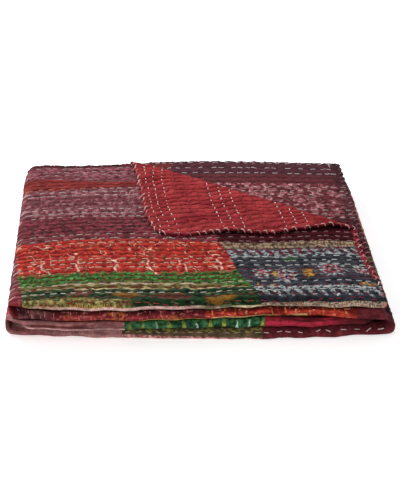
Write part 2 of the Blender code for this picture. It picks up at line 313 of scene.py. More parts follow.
def drawn_in(u, v):
    """Places near the hem, each hem stitch having drawn them in a little."""
    notch = 0.5 + 0.5 * np.sin(2 * math.pi * (u + v) / HEM_NOTCHES + 1.5 * drift(u, v, 0.09, 31))
    pull = HEM_DRAWN * notch ** 2 * (1 - smooth(in_from_hem(u, v) / HEM))
    at_side = np.minimum(u, WIDE - u) < np.minimum(v, LONG - v)
    drawn_u = u + np.where(at_side, np.sign(WIDE / 2 - u) * pull, 0)
    return drawn_u, v + np.where(at_side, 0, np.sign(LONG / 2 - v) * pull)


def lies_at(u, v, off):
    """Where places on the open cloth lie in the pile, so far off the middle of the cloth."""
    u, v = drawn_in(u, v)
    turned = (v < TOP_PLY) & (past_fold(u, v) > 0)
    neat = np.where(turned[..., None], turned_back(u, v, off), folded(u, v, off))
    return resting(settled(neat, u) + OVER_ORIGIN, RESTS_AT)


def resting(places, lowest):
    """The same places, flattened where they meet what the quilt lies on."""
    places[..., 2] = np.maximum(places[..., 2], lowest)
    return places


# The rows of quilting, sewn by hand: where each lies across the cloth, and how it wanders
ROW = 0.0133
ROWS_ON_TOP = (
    0.014, 0.027, 0.038, 0.051, 0.064, 0.077, 0.090, 0.102, 0.114, 0.126, 0.138, 0.150, 0.162,
    0.175, 0.188, 0.200, 0.212, 0.224, 0.236, 0.248, 0.262, 0.275, 0.288, 0.300, 0.312, 0.324,
    0.336, 0.349, 0.361, 0.373, 0.385, 0.396, 0.408, 0.420, 0.431,
)
ROWS_IN_FROM_LAST_HEM = (0.074, 0.058, 0.042, 0.024, 0.006)
ROWS = np.array(
    list(ROWS_ON_TOP)
    + list(np.arange(0.4443, LONG - 0.082, ROW))
    + [LONG - far for far in ROWS_IN_FROM_LAST_HEM]
)
BOW_AT_FRONT = (
    (0.000, 0.000), (0.020, -0.002), (0.040, -0.004), (0.060, -0.001), (0.080, 0.001),
    (0.100, 0.004), (0.115, 0.003), (0.150, 0.000), (0.165, 0.002), (0.200, 0.004),
    (0.240, 0.002), (0.260, 0.000), (0.295, -0.003), (0.320, -0.002), (0.360, 0.002),
    (0.395, 0.006), (0.420, 0.006), (0.440, 0.000),
)
BOW_AT_BACK = (
    (0.000, -0.004), (0.100, -0.010), (0.200, -0.008), (0.265, 0.003), (0.300, 0.001),
    (0.320, -0.002), (0.350, 0.001), (0.380, 0.004), (0.420, 0.004), (0.440, 0.000),
)
STITCH_PITCH = 0.0122
FLAP_STITCHES_LESS = 12.5
RIDGE = 0.0009
RIPPLE = 0.00045


def bow(u, v):
    """How far the rows lie from straight, towards the front."""
    back, front = read_table(BOW_AT_BACK, u, 0.006)[0], read_table(BOW_AT_FRONT, u, 0.006)[0]
    on_top = smooth((0.475 - v) / 0.030) * smooth(v / 0.030)
    return (back + (front - back) * smooth((v - 0.200) / 0.060)) * on_top


def drift(x, y, size, seed, waves=7):
    """Smooth unevenness, about -1 to 1, its swells so far apart."""
    rng = np.random.default_rng(seed)
    total = np.zeros(np.broadcast(x, y).shape)
    for _ in range(waves):
        way = rng.uniform(0, 2 * math.pi)
        length = size * rng.uniform(0.7, 1.5)
        shift = rng.uniform(0, 2 * math.pi)
        total += np.sin(2 * math.pi / length * (x * math.cos(way) + y * math.sin(way)) + shift)
    return total / math.sqrt(waves)


def stitch_count(u, v):
    """Counts along a row: a stitch lies on the face at each whole number."""
    on_flap = FLAP_STITCHES_LESS * np.where(v < TOP_PLY, np.maximum(past_fold(u, v), 0), 0)
    return u / STITCH_PITCH + on_flap + 0.40 * drift(u * 0.4, v, 0.055, 11) + 0.16 * drift(u, v, 0.020, 12)


def row_count(row):
    """Counts across the rows: one lies at each whole number."""
    return np.interp(row, ROWS, np.arange(len(ROWS)))


def stands(u, v, face):
    """How far the patched face, or the plain back, stands off the middle of the cloth."""
    inside = in_from_hem(u, v)
    off = CLOTH / 2 + HEM_SWELL * (1 - smooth(inside / HEM))
    top = (u < SIDE_FOLD) & (v < TOP_PLY)
    turned = top & (past_fold(u, v) > 0)
    row = v - bow(u, v)
    k = np.clip(np.searchsorted(ROWS, row) - 1, 0, len(ROWS) - 2)
    t = np.clip((row - ROWS[k]) / (ROWS[k + 1] - ROWS[k]), 0, 1)
    calm = smooth((inside - 0.002) / HEM)
    ridge = RIDGE * np.sin(math.pi * t) ** 2 * (0.8 + 0.35 * drift(u, v, 0.035, 13)) * calm
    ripple = -np.cos(2 * math.pi * stitch_count(u, row)) * (0.9 + 0.35 * drift(u, v, 0.05, 14))
    ripple = RIPPLE * ripple * calm
    near_fold = smooth(np.abs(past_fold(u, v)) / 0.010)
    if face:
        shows = np.where(turned, 0.0, np.where(top, near_fold, 0.35 * (v < 0.9)))
        return off + shows * (ridge + ripple)
    shows = np.where(turned, near_fold, 0.0)
    shows = np.where((u < 0.3) & (v > 1.5), 0.6, shows)
    return -(off + shows * (0.25 * ridge - 1.9 * ripple))


BINDING, NARROW_BINDING = 0.009, 0.0072
U_BREAKS = (0, NARROW_BINDING, 0.28, ALONG.ends[0], SIDE_FOLD, ALONG.ends[1], ALONG.starts[2], ALONG.ends[2],
            ALONG.starts[3], WIDE - BINDING, WIDE)
V_BREAKS = (0, BINDING, 0.25, TOP_PLY - 0.010, TOP_PLY, ACROSS.starts[1], ACROSS.starts[1] + 0.010,
            ACROSS.ends[1] - 0.010, ACROSS.ends[1], ACROSS.starts[2], ACROSS.starts[2] + 0.010,
            ACROSS.ends[2], ACROSS.starts[3], 1.53, LONG - BINDING, LONG)
BEND_STEP, NOSE_STEP, SMALL_NOSE_STEP = 0.0022, 0.0013, 0.0009
EDGE_STEP, HIDDEN_STEP = 0.0042, 0.022


def face_step(u, v):
    if u < 0.28 and v < 0.25:
        return 0.0026
    if u < SIDE_FOLD and v < 0.464:
        return 0.00275
    if TOP_PLY - 0.010 < v < 0.464:
        return 0.0045
    if ALONG.ends[1] < u < ALONG.starts[3] and 0.45 < v < 0.90:
        return 0.010
    return HIDDEN_STEP


def back_step(u, v):
    if u < 0.28 and v < 0.25:
        return 0.0026
    if u < 0.28 and v > 1.53:
        return 0.0030
    return HIDDEN_STEP


def zone_lines(step_at):
    """The lines of every zone of the open cloth, in steps that suit what shows of it."""
    zones = {}
    for i, (u0, u1) in enumerate(zip(U_BREAKS, U_BREAKS[1:])):
        for j, (v0, v1) in enumerate(zip(V_BREAKS, V_BREAKS[1:])):
            u, v = (u0 + u1) / 2, (v0 + v1) / 2
            du = dv = step_at(u, v)
            if i in (3, 5, 7):
                du = min(du, BEND_STEP)
            if j == 4:
                dv = min(dv, NOSE_STEP)
            if j in (8, 11):
                dv = min(dv, SMALL_NOSE_STEP)
            if i in (0, len(U_BREAKS) - 2):
                dv = min(dv, EDGE_STEP)
            if j in (0, len(V_BREAKS) - 2):
                du = min(du, EDGE_STEP)
            zones[i, j] = [
                np.round(np.linspace(low, high, max(1, math.ceil((high - low) / step - TINY)) + 1), 9)
                for low, high, step in ((u0, u1, du), (v0, v1, dv))
            ]
    return zones


def flat_side(zones, other):
    """One side of the open cloth, its zones joined point to point."""
    flat = bmesh.new()
    points = {}

    def point(u, v):
        key = (round(u * 1e6), round(v * 1e6))
        if key not in points:
            points[key] = flat.verts.new((u, v, 0))
        return points[key]

    def shared(*lines):
        return sorted({round(float(p), 9) for line in lines if line is not None for p in line})

    def border(i, j, axis, beyond):
        """The places along one border of a zone: its own, its neighbour's, or the other side's."""
        mine = zones[i, j][axis]
        if beyond in zones:
            return shared(mine, zones[beyond][axis])
        return shared(mine, other[i, j][axis])

    for (i, j), (us, vs) in zones.items():
        near, far = border(i, j, 0, (i, j - 1)), border(i, j, 0, (i, j + 1))
        left, right = border(i, j, 1, (i - 1, j)), border(i, j, 1, (i + 1, j))
        for a, (u0, u1) in enumerate(zip(us, us[1:])):
            for b, (v0, v1) in enumerate(zip(vs, vs[1:])):
                ring = [(u0, v0)]
                if b == 0:
                    ring += [(u, v0) for u in near if u0 + TINY < u < u1 - TINY]
                ring.append((u1, v0))
                if a == len(us) - 2:
                    ring += [(u1, v) for v in right if v0 + TINY < v < v1 - TINY]
                ring.append((u1, v1))
                if b == len(vs) - 2:
                    ring += [(u, v1) for u in reversed(far) if u0 + TINY < u < u1 - TINY]
                ring.append((u0, v1))
                if a == 0:
                    ring += [(u0, v) for v in reversed(left) if v0 + TINY < v < v1 - TINY]
                flat.faces.new([point(u, v) for u, v in ring])
    return flat


def cut(flat, where, way, inside, clear=False, within=1e-4):
    """Draws a straight line across the open cloth, or trims off what lies past it."""
    normal = (-way[1], way[0])
    near = []
    for f in flat.faces:
        p = f.verts[0].co
        reach = (p.x - where[0]) * normal[0] + (p.y - where[1]) * normal[1]
        if (clear or abs(reach) < 0.040) and inside(*f.calc_center_median()[:2]):
            near.append(f)
    edges = list({e for f in near for e in f.edges})
    verts = list({p for f in near for p in f.verts})
    bmesh.ops.bisect_plane(flat, geom=verts + edges + near, dist=within,
                           plane_co=(where[0], where[1], 0), plane_no=(normal[0], normal[1], 0),
                           clear_outer=clear)


def turn_and_trim(flat):
    """Draws the fold of the turned corner and cuts the corner round."""
    for k in range(ROLL_CUTS + 1):
        cut(flat, FLAP_START + TO_CORNER * (math.pi * ROLL * k / ROLL_CUTS), FLAP_WAY,
            inside=lambda u, v: u < 0.3 and v < 0.3)
    for k in range(1, CORNER_CUTS):
        turn = math.pi / 2 * k / CORNER_CUTS
        out = np.array([-math.cos(turn), -math.sin(turn)])
        cut(flat, np.array([CORNER, CORNER]) + out * CORNER, (out[1], -out[0]),
            inside=lambda u, v: u < CORNER and v < CORNER, clear=True, within=TINY)


face_zones, back_zones = zone_lines(face_step), zone_lines(back_step)
flat_face = flat_side(face_zones, back_zones)
flat_back = flat_side(back_zones, face_zones)
turn_and_trim(flat_face)
turn_and_trim(flat_back)

# How the saris are pieced on the face, in mm: each seam from its place at u to the next. The top
# ply shows two pieced parts, joined along a slanting seam.
SLANTING_SEAM = (
    (0, 177), (275, 171), (300, 165), (325, 160), (345, 157), (365, 154), (385, 149), (400, 144),
    (415, 139), (430, 136), (475, 131),
)
LEFT_SEAMS = (
    ((177, 74), (260, 72), (290, 68), (310, 65), (340, 60), (370, 55), (420, 51)),
    ((177, 89), (300, 89), (320, 91), (340, 94), (360, 98), (420, 97)),
    ((177, 200), (240, 198), (260, 196), (310, 188), (350, 190), (420, 194)),
    ((171, 276), (200, 275), (220, 272), (240, 268), (260, 265), (290, 263), (330, 262), (345, 264),
     (360, 268), (380, 272), (420, 274)),
    ((139, 415), (160, 408), (180, 402), (200, 398), (220, 395), (240, 393), (280, 388), (300, 388),
     (320, 390), (340, 393), (360, 400), (380, 402), (420, 404)),
    ((131, 447.8), (420, 447.8)),
)
LEFT_SARIS = ("mauve", "rust", "figured", "streaked", "orange", "leafed")
RIGHT_SEAMS = (
    ((0, 276), (40, 276), (60, 277), (80, 280), (110, 284), (140, 284), (171, 278)),
    ((0, 293), (40, 294), (70, 297), (100, 301), (130, 301), (166, 300)),
    ((0, 444.8), (50, 445.6), (85, 446.6), (133, 447.6)),
)
RIGHT_SARIS = ("plum", "tan", "charcoal")
SIDE_SEAM = ((230, 400), (300, 397), (375, 394), (445, 388), (475, 386))
FRONT_FOLD_SARIS = (
    (133, "tan"), (165, "leafed"), (405, "ribbed"), (610, "wine"), (772, "flame"),
    (947, "dark"), (1097, "khaki"), (1344, "ribbed"), (1494, "bells"), (1601, "crimson"),
)
FRONT_FOLD_FROM, FRONT_FOLD_TO = 400, 475
UNSEEN_ACROSS = (475, 552, 640, 705, 790, 872, 960, 1040, 1130, 1200, 1290, 1380, 1470, 1560, 1650, 1740)
UNSEEN_ALONG = (405, 700, 950, 1150, 1400, 1601)
UNSEEN_SARIS = (
    "wine", "figured", "crimson", "orange", "streaked", "rust", "mauve", "plum", "tan", "charcoal", "khaki",
)
BINDING_SARI, PLAIN_BACK, PLUM_BACK, FIGURED_BACK = "binding", "plain_back", "plum_back", "figured_back"
PLUM_BACK_FROM, FIGURED_BACK_FROM = LONG - 0.078, LONG - 0.200
SARIS = (
    "mauve", "rust", "figured", "streaked", "orange", "leafed", "plum", "tan", "charcoal", "side",
    "ribbed", "wine", "flame", "dark", "khaki", "bells", "crimson", "binding", "plain_back",
    "plum_back", "figured_back",
)


def line_at(line, where):
    return np.interp(where, [p[0] for p in line], [p[1] for p in line])


def sari_at(u, v):
    """Which sari each place of the face is cut from."""
    u_mm, v_mm = u * 1000, v * 1000
    sari = np.full(u.shape, SARIS.index("wine"))
    block = np.searchsorted(UNSEEN_ALONG, u_mm)
    strip = np.searchsorted(UNSEEN_ACROSS, v_mm)
    unseen = np.array([SARIS.index(name) for name in UNSEEN_SARIS])
    sari = unseen[(3 * block + strip) % len(unseen)]
    top = (u_mm < 410.3) & (v_mm < FRONT_FOLD_TO)
    left = u_mm > line_at(SLANTING_SEAM, v_mm)
    for side, seams, names in ((left, LEFT_SEAMS, LEFT_SARIS), (~left, RIGHT_SEAMS, RIGHT_SARIS)):
        count = sum((v_mm > line_at(seam, u_mm)).astype(int) for seam in seams)
        laid = np.array([SARIS.index(name) for name in names])[np.clip(count, 0, len(names) - 1)]
        sari = np.where(top & side, laid, sari)
    sari = np.where(top & (v_mm > 230) & (u_mm > line_at(SIDE_SEAM, v_mm)), SARIS.index("side"), sari)
    at_fold = np.array([SARIS.index(name) for _, name in FRONT_FOLD_SARIS])
    at_fold = at_fold[np.clip(np.searchsorted([end for end, _ in FRONT_FOLD_SARIS], u_mm), 0, len(at_fold) - 1)]
    last_seam = np.where(left, line_at(LEFT_SEAMS[-1], u_mm), line_at(RIGHT_SEAMS[-1], u_mm))
    folds = (v_mm < FRONT_FOLD_TO) & (v_mm > np.where(u_mm < 410.3, last_seam, FRONT_FOLD_FROM))
    folds &= ~(top & (u_mm > line_at(SIDE_SEAM, v_mm)))
    sari = np.where(folds, at_fold, sari)
    bound = np.where((u < 0.1) & (v < 0.47), np.where(v < 0.388, NARROW_BINDING, 0.0), BINDING)
    return np.where(in_from_hem(u, v) < bound, SARIS.index(BINDING_SARI), sari)


def back_at(u, v):
    plain = np.where(v > FIGURED_BACK_FROM, SARIS.index(FIGURED_BACK), SARIS.index(PLAIN_BACK))
    return np.where(v > PLUM_BACK_FROM, SARIS.index(PLUM_BACK), plain)


def seam_cuts(flat):
    """Draws every seam on the open face, so that the saris meet along clean lines."""
    seams = [(seam, (131, 420)) for seam in LEFT_SEAMS] + [(seam, (0, 180)) for seam in RIGHT_SEAMS]
    for seam, (low, high) in seams:
        for (u0, v0), (u1, v1) in zip(seam, seam[1:]):
            cut_between(flat, (u0, v0), (u1, v1), (max(u0, low), min(u1, high), 0, 470))
    for line in (SLANTING_SEAM, SIDE_SEAM):
        for (v0, u0), (v1, u1) in zip(line, line[1:]):
            cut_between(flat, (u0, v0), (u1, v1), (100, 420, v0, v1))
    for end, _ in FRONT_FOLD_SARIS[:-1]:
        low = 440 if end < 410 else FRONT_FOLD_FROM
        cut_between(flat, (end, 0), (end, 1), (end - 30, end + 30, low - 10, FRONT_FOLD_TO))
    for v in UNSEEN_ACROSS:
        cut_between(flat, (0, v), (1, v), (0, 1601, v - 30, v + 30))
    for u in UNSEEN_ALONG[:-1]:
        cut_between(flat, (u, 0), (u, 1), (u - 30, u + 30, FRONT_FOLD_TO, 1786))
    cut_between(flat, (0, FRONT_FOLD_FROM), (1, FRONT_FOLD_FROM), (410, 1601, 370, 430))


def cut_between(flat, start, end, box):
    """Draws a line between two places, in mm, across the faces whose middles are in a box."""
    u0, u1, v0, v1 = (side / 1000 for side in box)
    way = np.array([end[0] - start[0], end[1] - start[1]], float)
    cut(flat, np.array(start) / 1000, way / np.hypot(*way), lambda u, v: u0 <= u < u1 and v0 <= v < v1)


seam_cuts(flat_face)
cut_between(flat_back, (0, PLUM_BACK_FROM * 1000), (1, PLUM_BACK_FROM * 1000), (0, 1601, 1650, 1790))
cut_between(flat_back, (0, FIGURED_BACK_FROM * 1000), (1, FIGURED_BACK_FROM * 1000), (0, 1601, 1550, 1650))
for flat, chosen in ((flat_face, sari_at), (flat_back, back_at)):
    flat.faces.ensure_lookup_table()
    middles = np.array([f.calc_center_median()[:2] for f in flat.faces])
    for f, sari in zip(flat.faces, chosen(middles[:, 0], middles[:, 1])):
        f.material_index = int(sari)


def edge_points(flat):
    return [p for p in flat.verts if p.is_boundary]


def give_partners(flat, other):
    """Gives this side a point on its edge wherever the other side has one."""
    mine = np.array([p.co[:2] for p in edge_points(flat)])
    for p in edge_points(other):
        if np.min(np.abs(mine - np.array(p.co[:2])).sum(axis=1)) < 3e-5:
            continue
        for e in [e for e in flat.edges if e.is_boundary]:
            a, b = e.verts
            along = b.co - a.co
            t = (p.co - a.co).dot(along) / along.length_squared
            if 0 < t < 1 and (a.co + along * t - p.co).length < 3e-5:
                bmesh.utils.edge_split(e, a, t)
                break


give_partners(flat_face, flat_back)
give_partners(flat_back, flat_face)

# Both sides and the rounded edge between them, as one closed skin
HEM_RINGS = 3
HEM_BULGE = 0.0011
skin = bmesh.new()
places = []


def lay(flat, turned_over):
    """Adds one side to the skin, and gives its edge points by their place on the cloth."""
    start = len(places)
    flat.verts.index_update()
    laid = [skin.verts.new((0, 0, 0)) for _ in flat.verts]
    places.extend((p.co.x, p.co.y) for p in flat.verts)
    for f in flat.faces:
        ring = [laid[p.index] for p in f.verts]
        made = skin.faces.new(reversed(ring) if turned_over else ring)
        made.material_index = f.material_index
    return start, [(tuple(p.co[:2]), laid[p.index]) for p in edge_points(flat)]


face_start, face_rim = lay(flat_face, False)
back_start, back_rim = lay(flat_back, True)
print("faces", len(flat_face.faces), len(flat_back.faces), "rim", len(face_rim), len(back_rim))
uv = np.array(places)
is_face = np.arange(len(uv)) < back_start
off = np.where(is_face, stands(uv[:, 0], uv[:, 1], True), stands(uv[:, 0], uv[:, 1], False))
laid_at = lies_at(uv[:, 0], uv[:, 1], off)
skin.verts.ensure_lookup_table()
for vert, place in zip(skin.verts, laid_at):
    vert.co = place

# the rounded edge, ring by ring
back_rim_at = np.array([place for place, _ in back_rim])
column_of, outward = {}, {}
for e in flat_face.edges:
    if e.is_boundary:
        a = e.link_loops[0].vert
        b = e.other_vert(a)
        way = (b.co - a.co).normalized()
        for p in (a, b):
            outward[p] = outward.get(p, np.zeros(2)) + (way.y, -way.x)
hem_u, hem_v, hem_off, hem_verts = [], [], [], []
for p, (place, top) in zip(edge_points(flat_face), face_rim):
    out = outward[p] / np.hypot(*outward[p])
    partner = np.argmin(np.abs(back_rim_at - np.array(place)).sum(axis=1))
    column = [top]
    for k in range(HEM_RINGS):
        turn = math.pi * (k + 1) / (HEM_RINGS + 1)
        bulge = HEM_BULGE * math.sin(turn)
        hem_u.append(place[0] + out[0] * bulge)
        hem_v.append(place[1] + out[1] * bulge)
        hem_off.append((CLOTH / 2 + HEM_SWELL) * math.cos(turn))
        column.append(skin.verts.new((0, 0, 0)))
        hem_verts.append(column[-1])
    column.append(back_rim[partner][1])
    column_of[p] = column
hem_at = lies_at(np.array(hem_u), np.array(hem_v), np.array(hem_off))
for vert, place in zip(hem_verts, hem_at):
    vert.co = place
for e in flat_face.edges:
    if e.is_boundary:
        a = e.link_loops[0].vert
        first, second = column_of[a], column_of[e.other_vert(a)]
        for k in range(HEM_RINGS + 1):
            made = skin.faces.new((second[k], first[k], first[k + 1], second[k + 1]))
            made.material_index = SARIS.index(BINDING_SARI)

skin.verts.index_update()
hem_uv = np.stack([hem_u, hem_v], axis=-1)
all_uv = np.concatenate([uv, hem_uv])
all_uv[:, 1] -= bow(all_uv[:, 0], all_uv[:, 1])
mesh = bpy.data.meshes.new("quilt_cloth")
bmesh.ops.triangulate(skin, faces=[f for f in skin.faces if len(f.verts) > 4])
rows_uv = np.stack([stitch_count(all_uv[:, 0], all_uv[:, 1]), row_count(all_uv[:, 1])], axis=-1)
layer = skin.loops.layers.uv.new("cloth")
rows_layer = skin.loops.layers.uv.new("rows")
for f in skin.faces:
    f.smooth = True
    for loop in f.loops:
        loop[layer].uv = all_uv[loop.vert.index]
        loop[rows_layer].uv = rows_uv[loop.vert.index]
skin.to_mesh(mesh)
skin.free()
flat_face.free()
flat_back.free()
quilt = bpy.data.objects.new("quilt_cloth", mesh)
bpy.context.scene.collection.objects.link(quilt)
print("triangles", sum(len(p.vertices) - 2 for p in mesh.polygons))



class Wire:
    """A socket that expressions work on: each operator adds its Math node."""

    def __init__(self, loom, socket):
        self.loom, self.socket = loom, socket

    def __add__(self, other):
        return self.loom.math("ADD", self, other)

    def __sub__(self, other):
        return self.loom.math("SUBTRACT", self, other)

    def __rsub__(self, other):
        return self.loom.math("SUBTRACT", other, self)

    def __mul__(self, other):
        return self.loom.math("MULTIPLY", self, other)

    def __truediv__(self, other):
        return self.loom.math("DIVIDE", self, other)

    def __gt__(self, other):
        return self.loom.math("GREATER_THAN", self, other)

    def __lt__(self, other):
        return self.loom.math("LESS_THAN", self, other)

    __radd__ = __add__
    __rmul__ = __mul__

    def size(self):
        return self.loom.math("ABSOLUTE", self)

    def whole(self):
        return self.loom.math("FLOOR", self)

    def part(self):
        return self.loom.math("FRACT", self)

    def sine(self):
        return self.loom.math("SINE", self)

    def most(self, other):
        return self.loom.math("MAXIMUM", self, other)

    def least(self, other):
        return self.loom.math("MINIMUM", self, other)

    def between(self, low, high):
        """0 below low, 1 above high, and a soft step between them; low may be the higher."""
        return self.loom.node(
            "MapRange",
            {"interpolation_type": "SMOOTHSTEP"},
            {"Value": self, "From Min": low, "From Max": high},
        )


class Loom:
    """The nodes of one cloth's material, on its places (u, row) in mm."""

    def __init__(self, name):
        self.material = bpy.data.materials.new(name)
        self.material.use_nodes = True
        self.tree = self.material.node_tree
        self.shader = self.tree.nodes["Principled BSDF"]
        place = self.node("UVMap", {"uv_map": "cloth"}, {})
        self.u = self.node("SeparateXYZ", {}, {0: place}) * 1000
        self.v = self.node("SeparateXYZ", {}, {0: place}, 1) * 1000
        sewn = self.node("UVMap", {"uv_map": "rows"}, {})
        self.stitches = self.node("SeparateXYZ", {}, {0: sewn})
        self.rows = self.node("SeparateXYZ", {}, {0: sewn}, 1)

    def node(self, kind, settings, values, output=0):
        made = self.tree.nodes.new("ShaderNode" + kind)
        for name, value in settings.items():
            setattr(made, name, value)
        for name, value in values.items():
            if isinstance(value, Wire):
                self.tree.links.new(value.socket, made.inputs[name])
            else:
                made.inputs[name].default_value = value
        return Wire(self, made.outputs[output])

    def math(self, operation, *values):
        return self.node("Math", {"operation": operation}, dict(enumerate(values)))

    def at(self, x, y, z=0.0):
        return self.node("CombineXYZ", {}, {0: x, 1: y, 2: z})

    def noise(self, wide, long, seed, detail=1.0, u=None, v=None):
        """Uneven from 0 to 1, its spots so many mm wide and long."""
        u, v = u or self.u, v or self.v
        return self.node(
            "TexNoise",
            {"noise_dimensions": "3D"},
            {"Vector": self.at(u / wide, v / long, float(seed) * 7.3), "Scale": 1.0, "Detail": detail},
        )

    def chance(self, x, y=0.0, seed=0.0):
        """One number from 0 to 1 for each whole place."""
        return self.node("TexWhiteNoise", {"noise_dimensions": "3D"}, {"Vector": self.at(x, y, seed)})

    def mix(self, share, a, b):
        return self.node("Mix", {"data_type": "RGBA"}, {0: share, 6: a, 7: b}, 2)

    def spot(self, u, v, wide, long, soft=0.35):
        """1 inside an oval round (u, v), its half sizes in mm."""
        x = (self.wavy_u - u) / wide
        y = (self.wavy_v - v) / long
        return (x * x + y * y).between(1 + soft, 1 - soft)

    def ruffle(self, amount, size, seed):
        """Sets the places that spots and lines are drawn on, their outlines made uneven."""
        self.wavy_u = self.u + (self.noise(size, size, seed) - 0.5) * amount
        self.wavy_v = self.v + (self.noise(size, size, seed + 1) - 0.5) * amount

    def strip(self, low, high, soft=0.8, of=None):
        """1 between two places across the rows."""
        v = of or self.wavy_v
        return v.between(low - soft, low + soft) * v.between(high + soft, high - soft)


def dye(red, green, blue):
    """A colour as a dyer's card shows it, turned to light."""
    def light(part):
        part /= 255
        return part / 12.92 if part <= 0.04045 else ((part + 0.055) / 1.055) ** 2.4
    return (light(red), light(green), light(blue), 1.0)


def mauve(t):
    field = t.mix(t.noise(9, 7, 1, 2).between(0.3, 0.7), dye(84, 38, 44), dye(136, 76, 84))
    field = t.mix(t.noise(5, 4, 2, 1).between(0.58, 0.68) * 0.6, field, dye(128, 40, 62))
    field = t.mix(t.noise(6, 5, 95, 1).between(0.62, 0.70) * 0.7, field, dye(166, 122, 130))
    return t.mix(t.noise(4, 7, 3, 2).between(0.58, 0.68) * 0.75, field, dye(58, 32, 38))


def rust(t):
    field = t.mix(t.noise(12, 8, 5, 2).between(0.3, 0.7), dye(98, 29, 30), dye(132, 45, 42))
    return t.mix(t.noise(4, 5, 6, 1).between(0.6, 0.75) * 0.5, field, dye(132, 69, 58))


def figured(t):
    t.ruffle(7, 9, 8)
    field = t.mix(t.noise(10, 14, 9, 2), dye(85, 38, 44), dye(118, 59, 66))
    shapes = t.noise(5.5, 15, 10, 2, t.wavy_u).between(0.50, 0.60)
    field = t.mix(shapes * 0.75, field, dye(153, 101, 107))
    field = t.mix(t.noise(4.5, 13, 11, 2, t.wavy_u).between(0.60, 0.66) * 0.8, field, dye(64, 31, 36))
    lines = t.strip(99, 103, 1) .most(t.strip(112, 117, 1)).most(t.strip(158, 162, 1)).most(t.strip(176, 180, 1))
    return t.mix(lines * t.noise(6, 3, 12, 1).between(0.35, 0.6) * 0.6, field, dye(160, 121, 122))


def streaked(t):
    field = t.mix(t.noise(14, 12, 13, 1).between(0.3, 0.7), dye(82, 32, 38), dye(122, 48, 58))
    field = t.mix(t.noise(4.5, 12, 14, 1).between(0.56, 0.66) * 0.8, field, dye(56, 28, 30))
    field = t.mix(t.noise(6, 4, 96, 1).between(0.58, 0.68) * 0.6, field, dye(132, 88, 88))
    return t.mix(t.noise(3.6, 12, 15, 1).between(0.60, 0.70) * 0.55, field, dye(140, 44, 62))


def orange(t):
    t.ruffle(4, 8, 16)
    field = t.mix(t.noise(9, 9, 17, 2).between(0.3, 0.7), dye(128, 23, 22), dye(186, 50, 40))
    field = t.mix(t.noise(5, 3, 18, 1).between(0.56, 0.66) * 0.7, field, dye(103, 22, 22))
    # sprigs about 39 mm apart: a stem that leans as it comes down, and curling leaves thrown off it
    lean = t.u + (t.v - 330) * 0.17 + (t.noise(40, 22, 19) - 0.5) * 20
    off_stem = ((lean / 39).part() - 0.5).size() * 39
    stem = off_stem.between(1.7, 0.7) * t.noise(6, 9, 20, 1).between(0.38, 0.46) * t.v.between(326, 334)
    curl = (t.noise(8, 13, 91, 0, t.u + t.v * 0.3) - 0.5).size().between(0.034, 0.014)
    curl = curl * t.noise(13, 15, 131, 1).between(0.47, 0.55) * off_stem.between(19, 8)
    flick = t.noise(2.8, 6, 92, 1, t.u + t.v * 0.35).between(0.63, 0.68) * t.noise(17, 17, 132, 1).between(0.45, 0.6)
    olive = t.noise(5.5, 4.2, 93, 1).between(0.61, 0.67)
    field = t.mix(olive * 0.8, field, dye(112, 84, 44))
    field = t.mix(flick * 0.85, field, dye(204, 140, 112))
    field = t.mix(stem.most(curl) * t.strip(280, 388, 4) * 0.95, field, dye(216, 180, 155))
    # the green border below it, with its jagged edge
    green = t.mix(t.noise(6, 8, 21, 2), dye(35, 60, 25), dye(73, 105, 45))
    green = t.mix(t.noise(3.0, 5.5, 22, 1, t.u - t.v * 0.4).between(0.54, 0.62), green, dye(78, 144, 70))
    green = t.mix(t.noise(3.6, 4.5, 23, 1).between(0.58, 0.64) * 0.9, green, dye(22, 42, 23))
    green = t.mix(t.noise(5, 5, 24, 1).between(0.64, 0.70) * t.strip(370, 392, 2) * 0.8, green, dye(116, 60, 36))
    scallop = t.mix(t.noise(8, 8, 25, 1) , dye(101, 56, 36), dye(123, 107, 60))
    edge = t.v + (t.noise(9, 30, 26, 2) - 0.5) * 26
    below = edge.between(366.5, 368)
    brink = edge.between(361, 362.5) * (t.noise(11, 40, 27, 0) .between(0.42, 0.5))
    return t.mix(below, t.mix(brink, field, scallop), green)


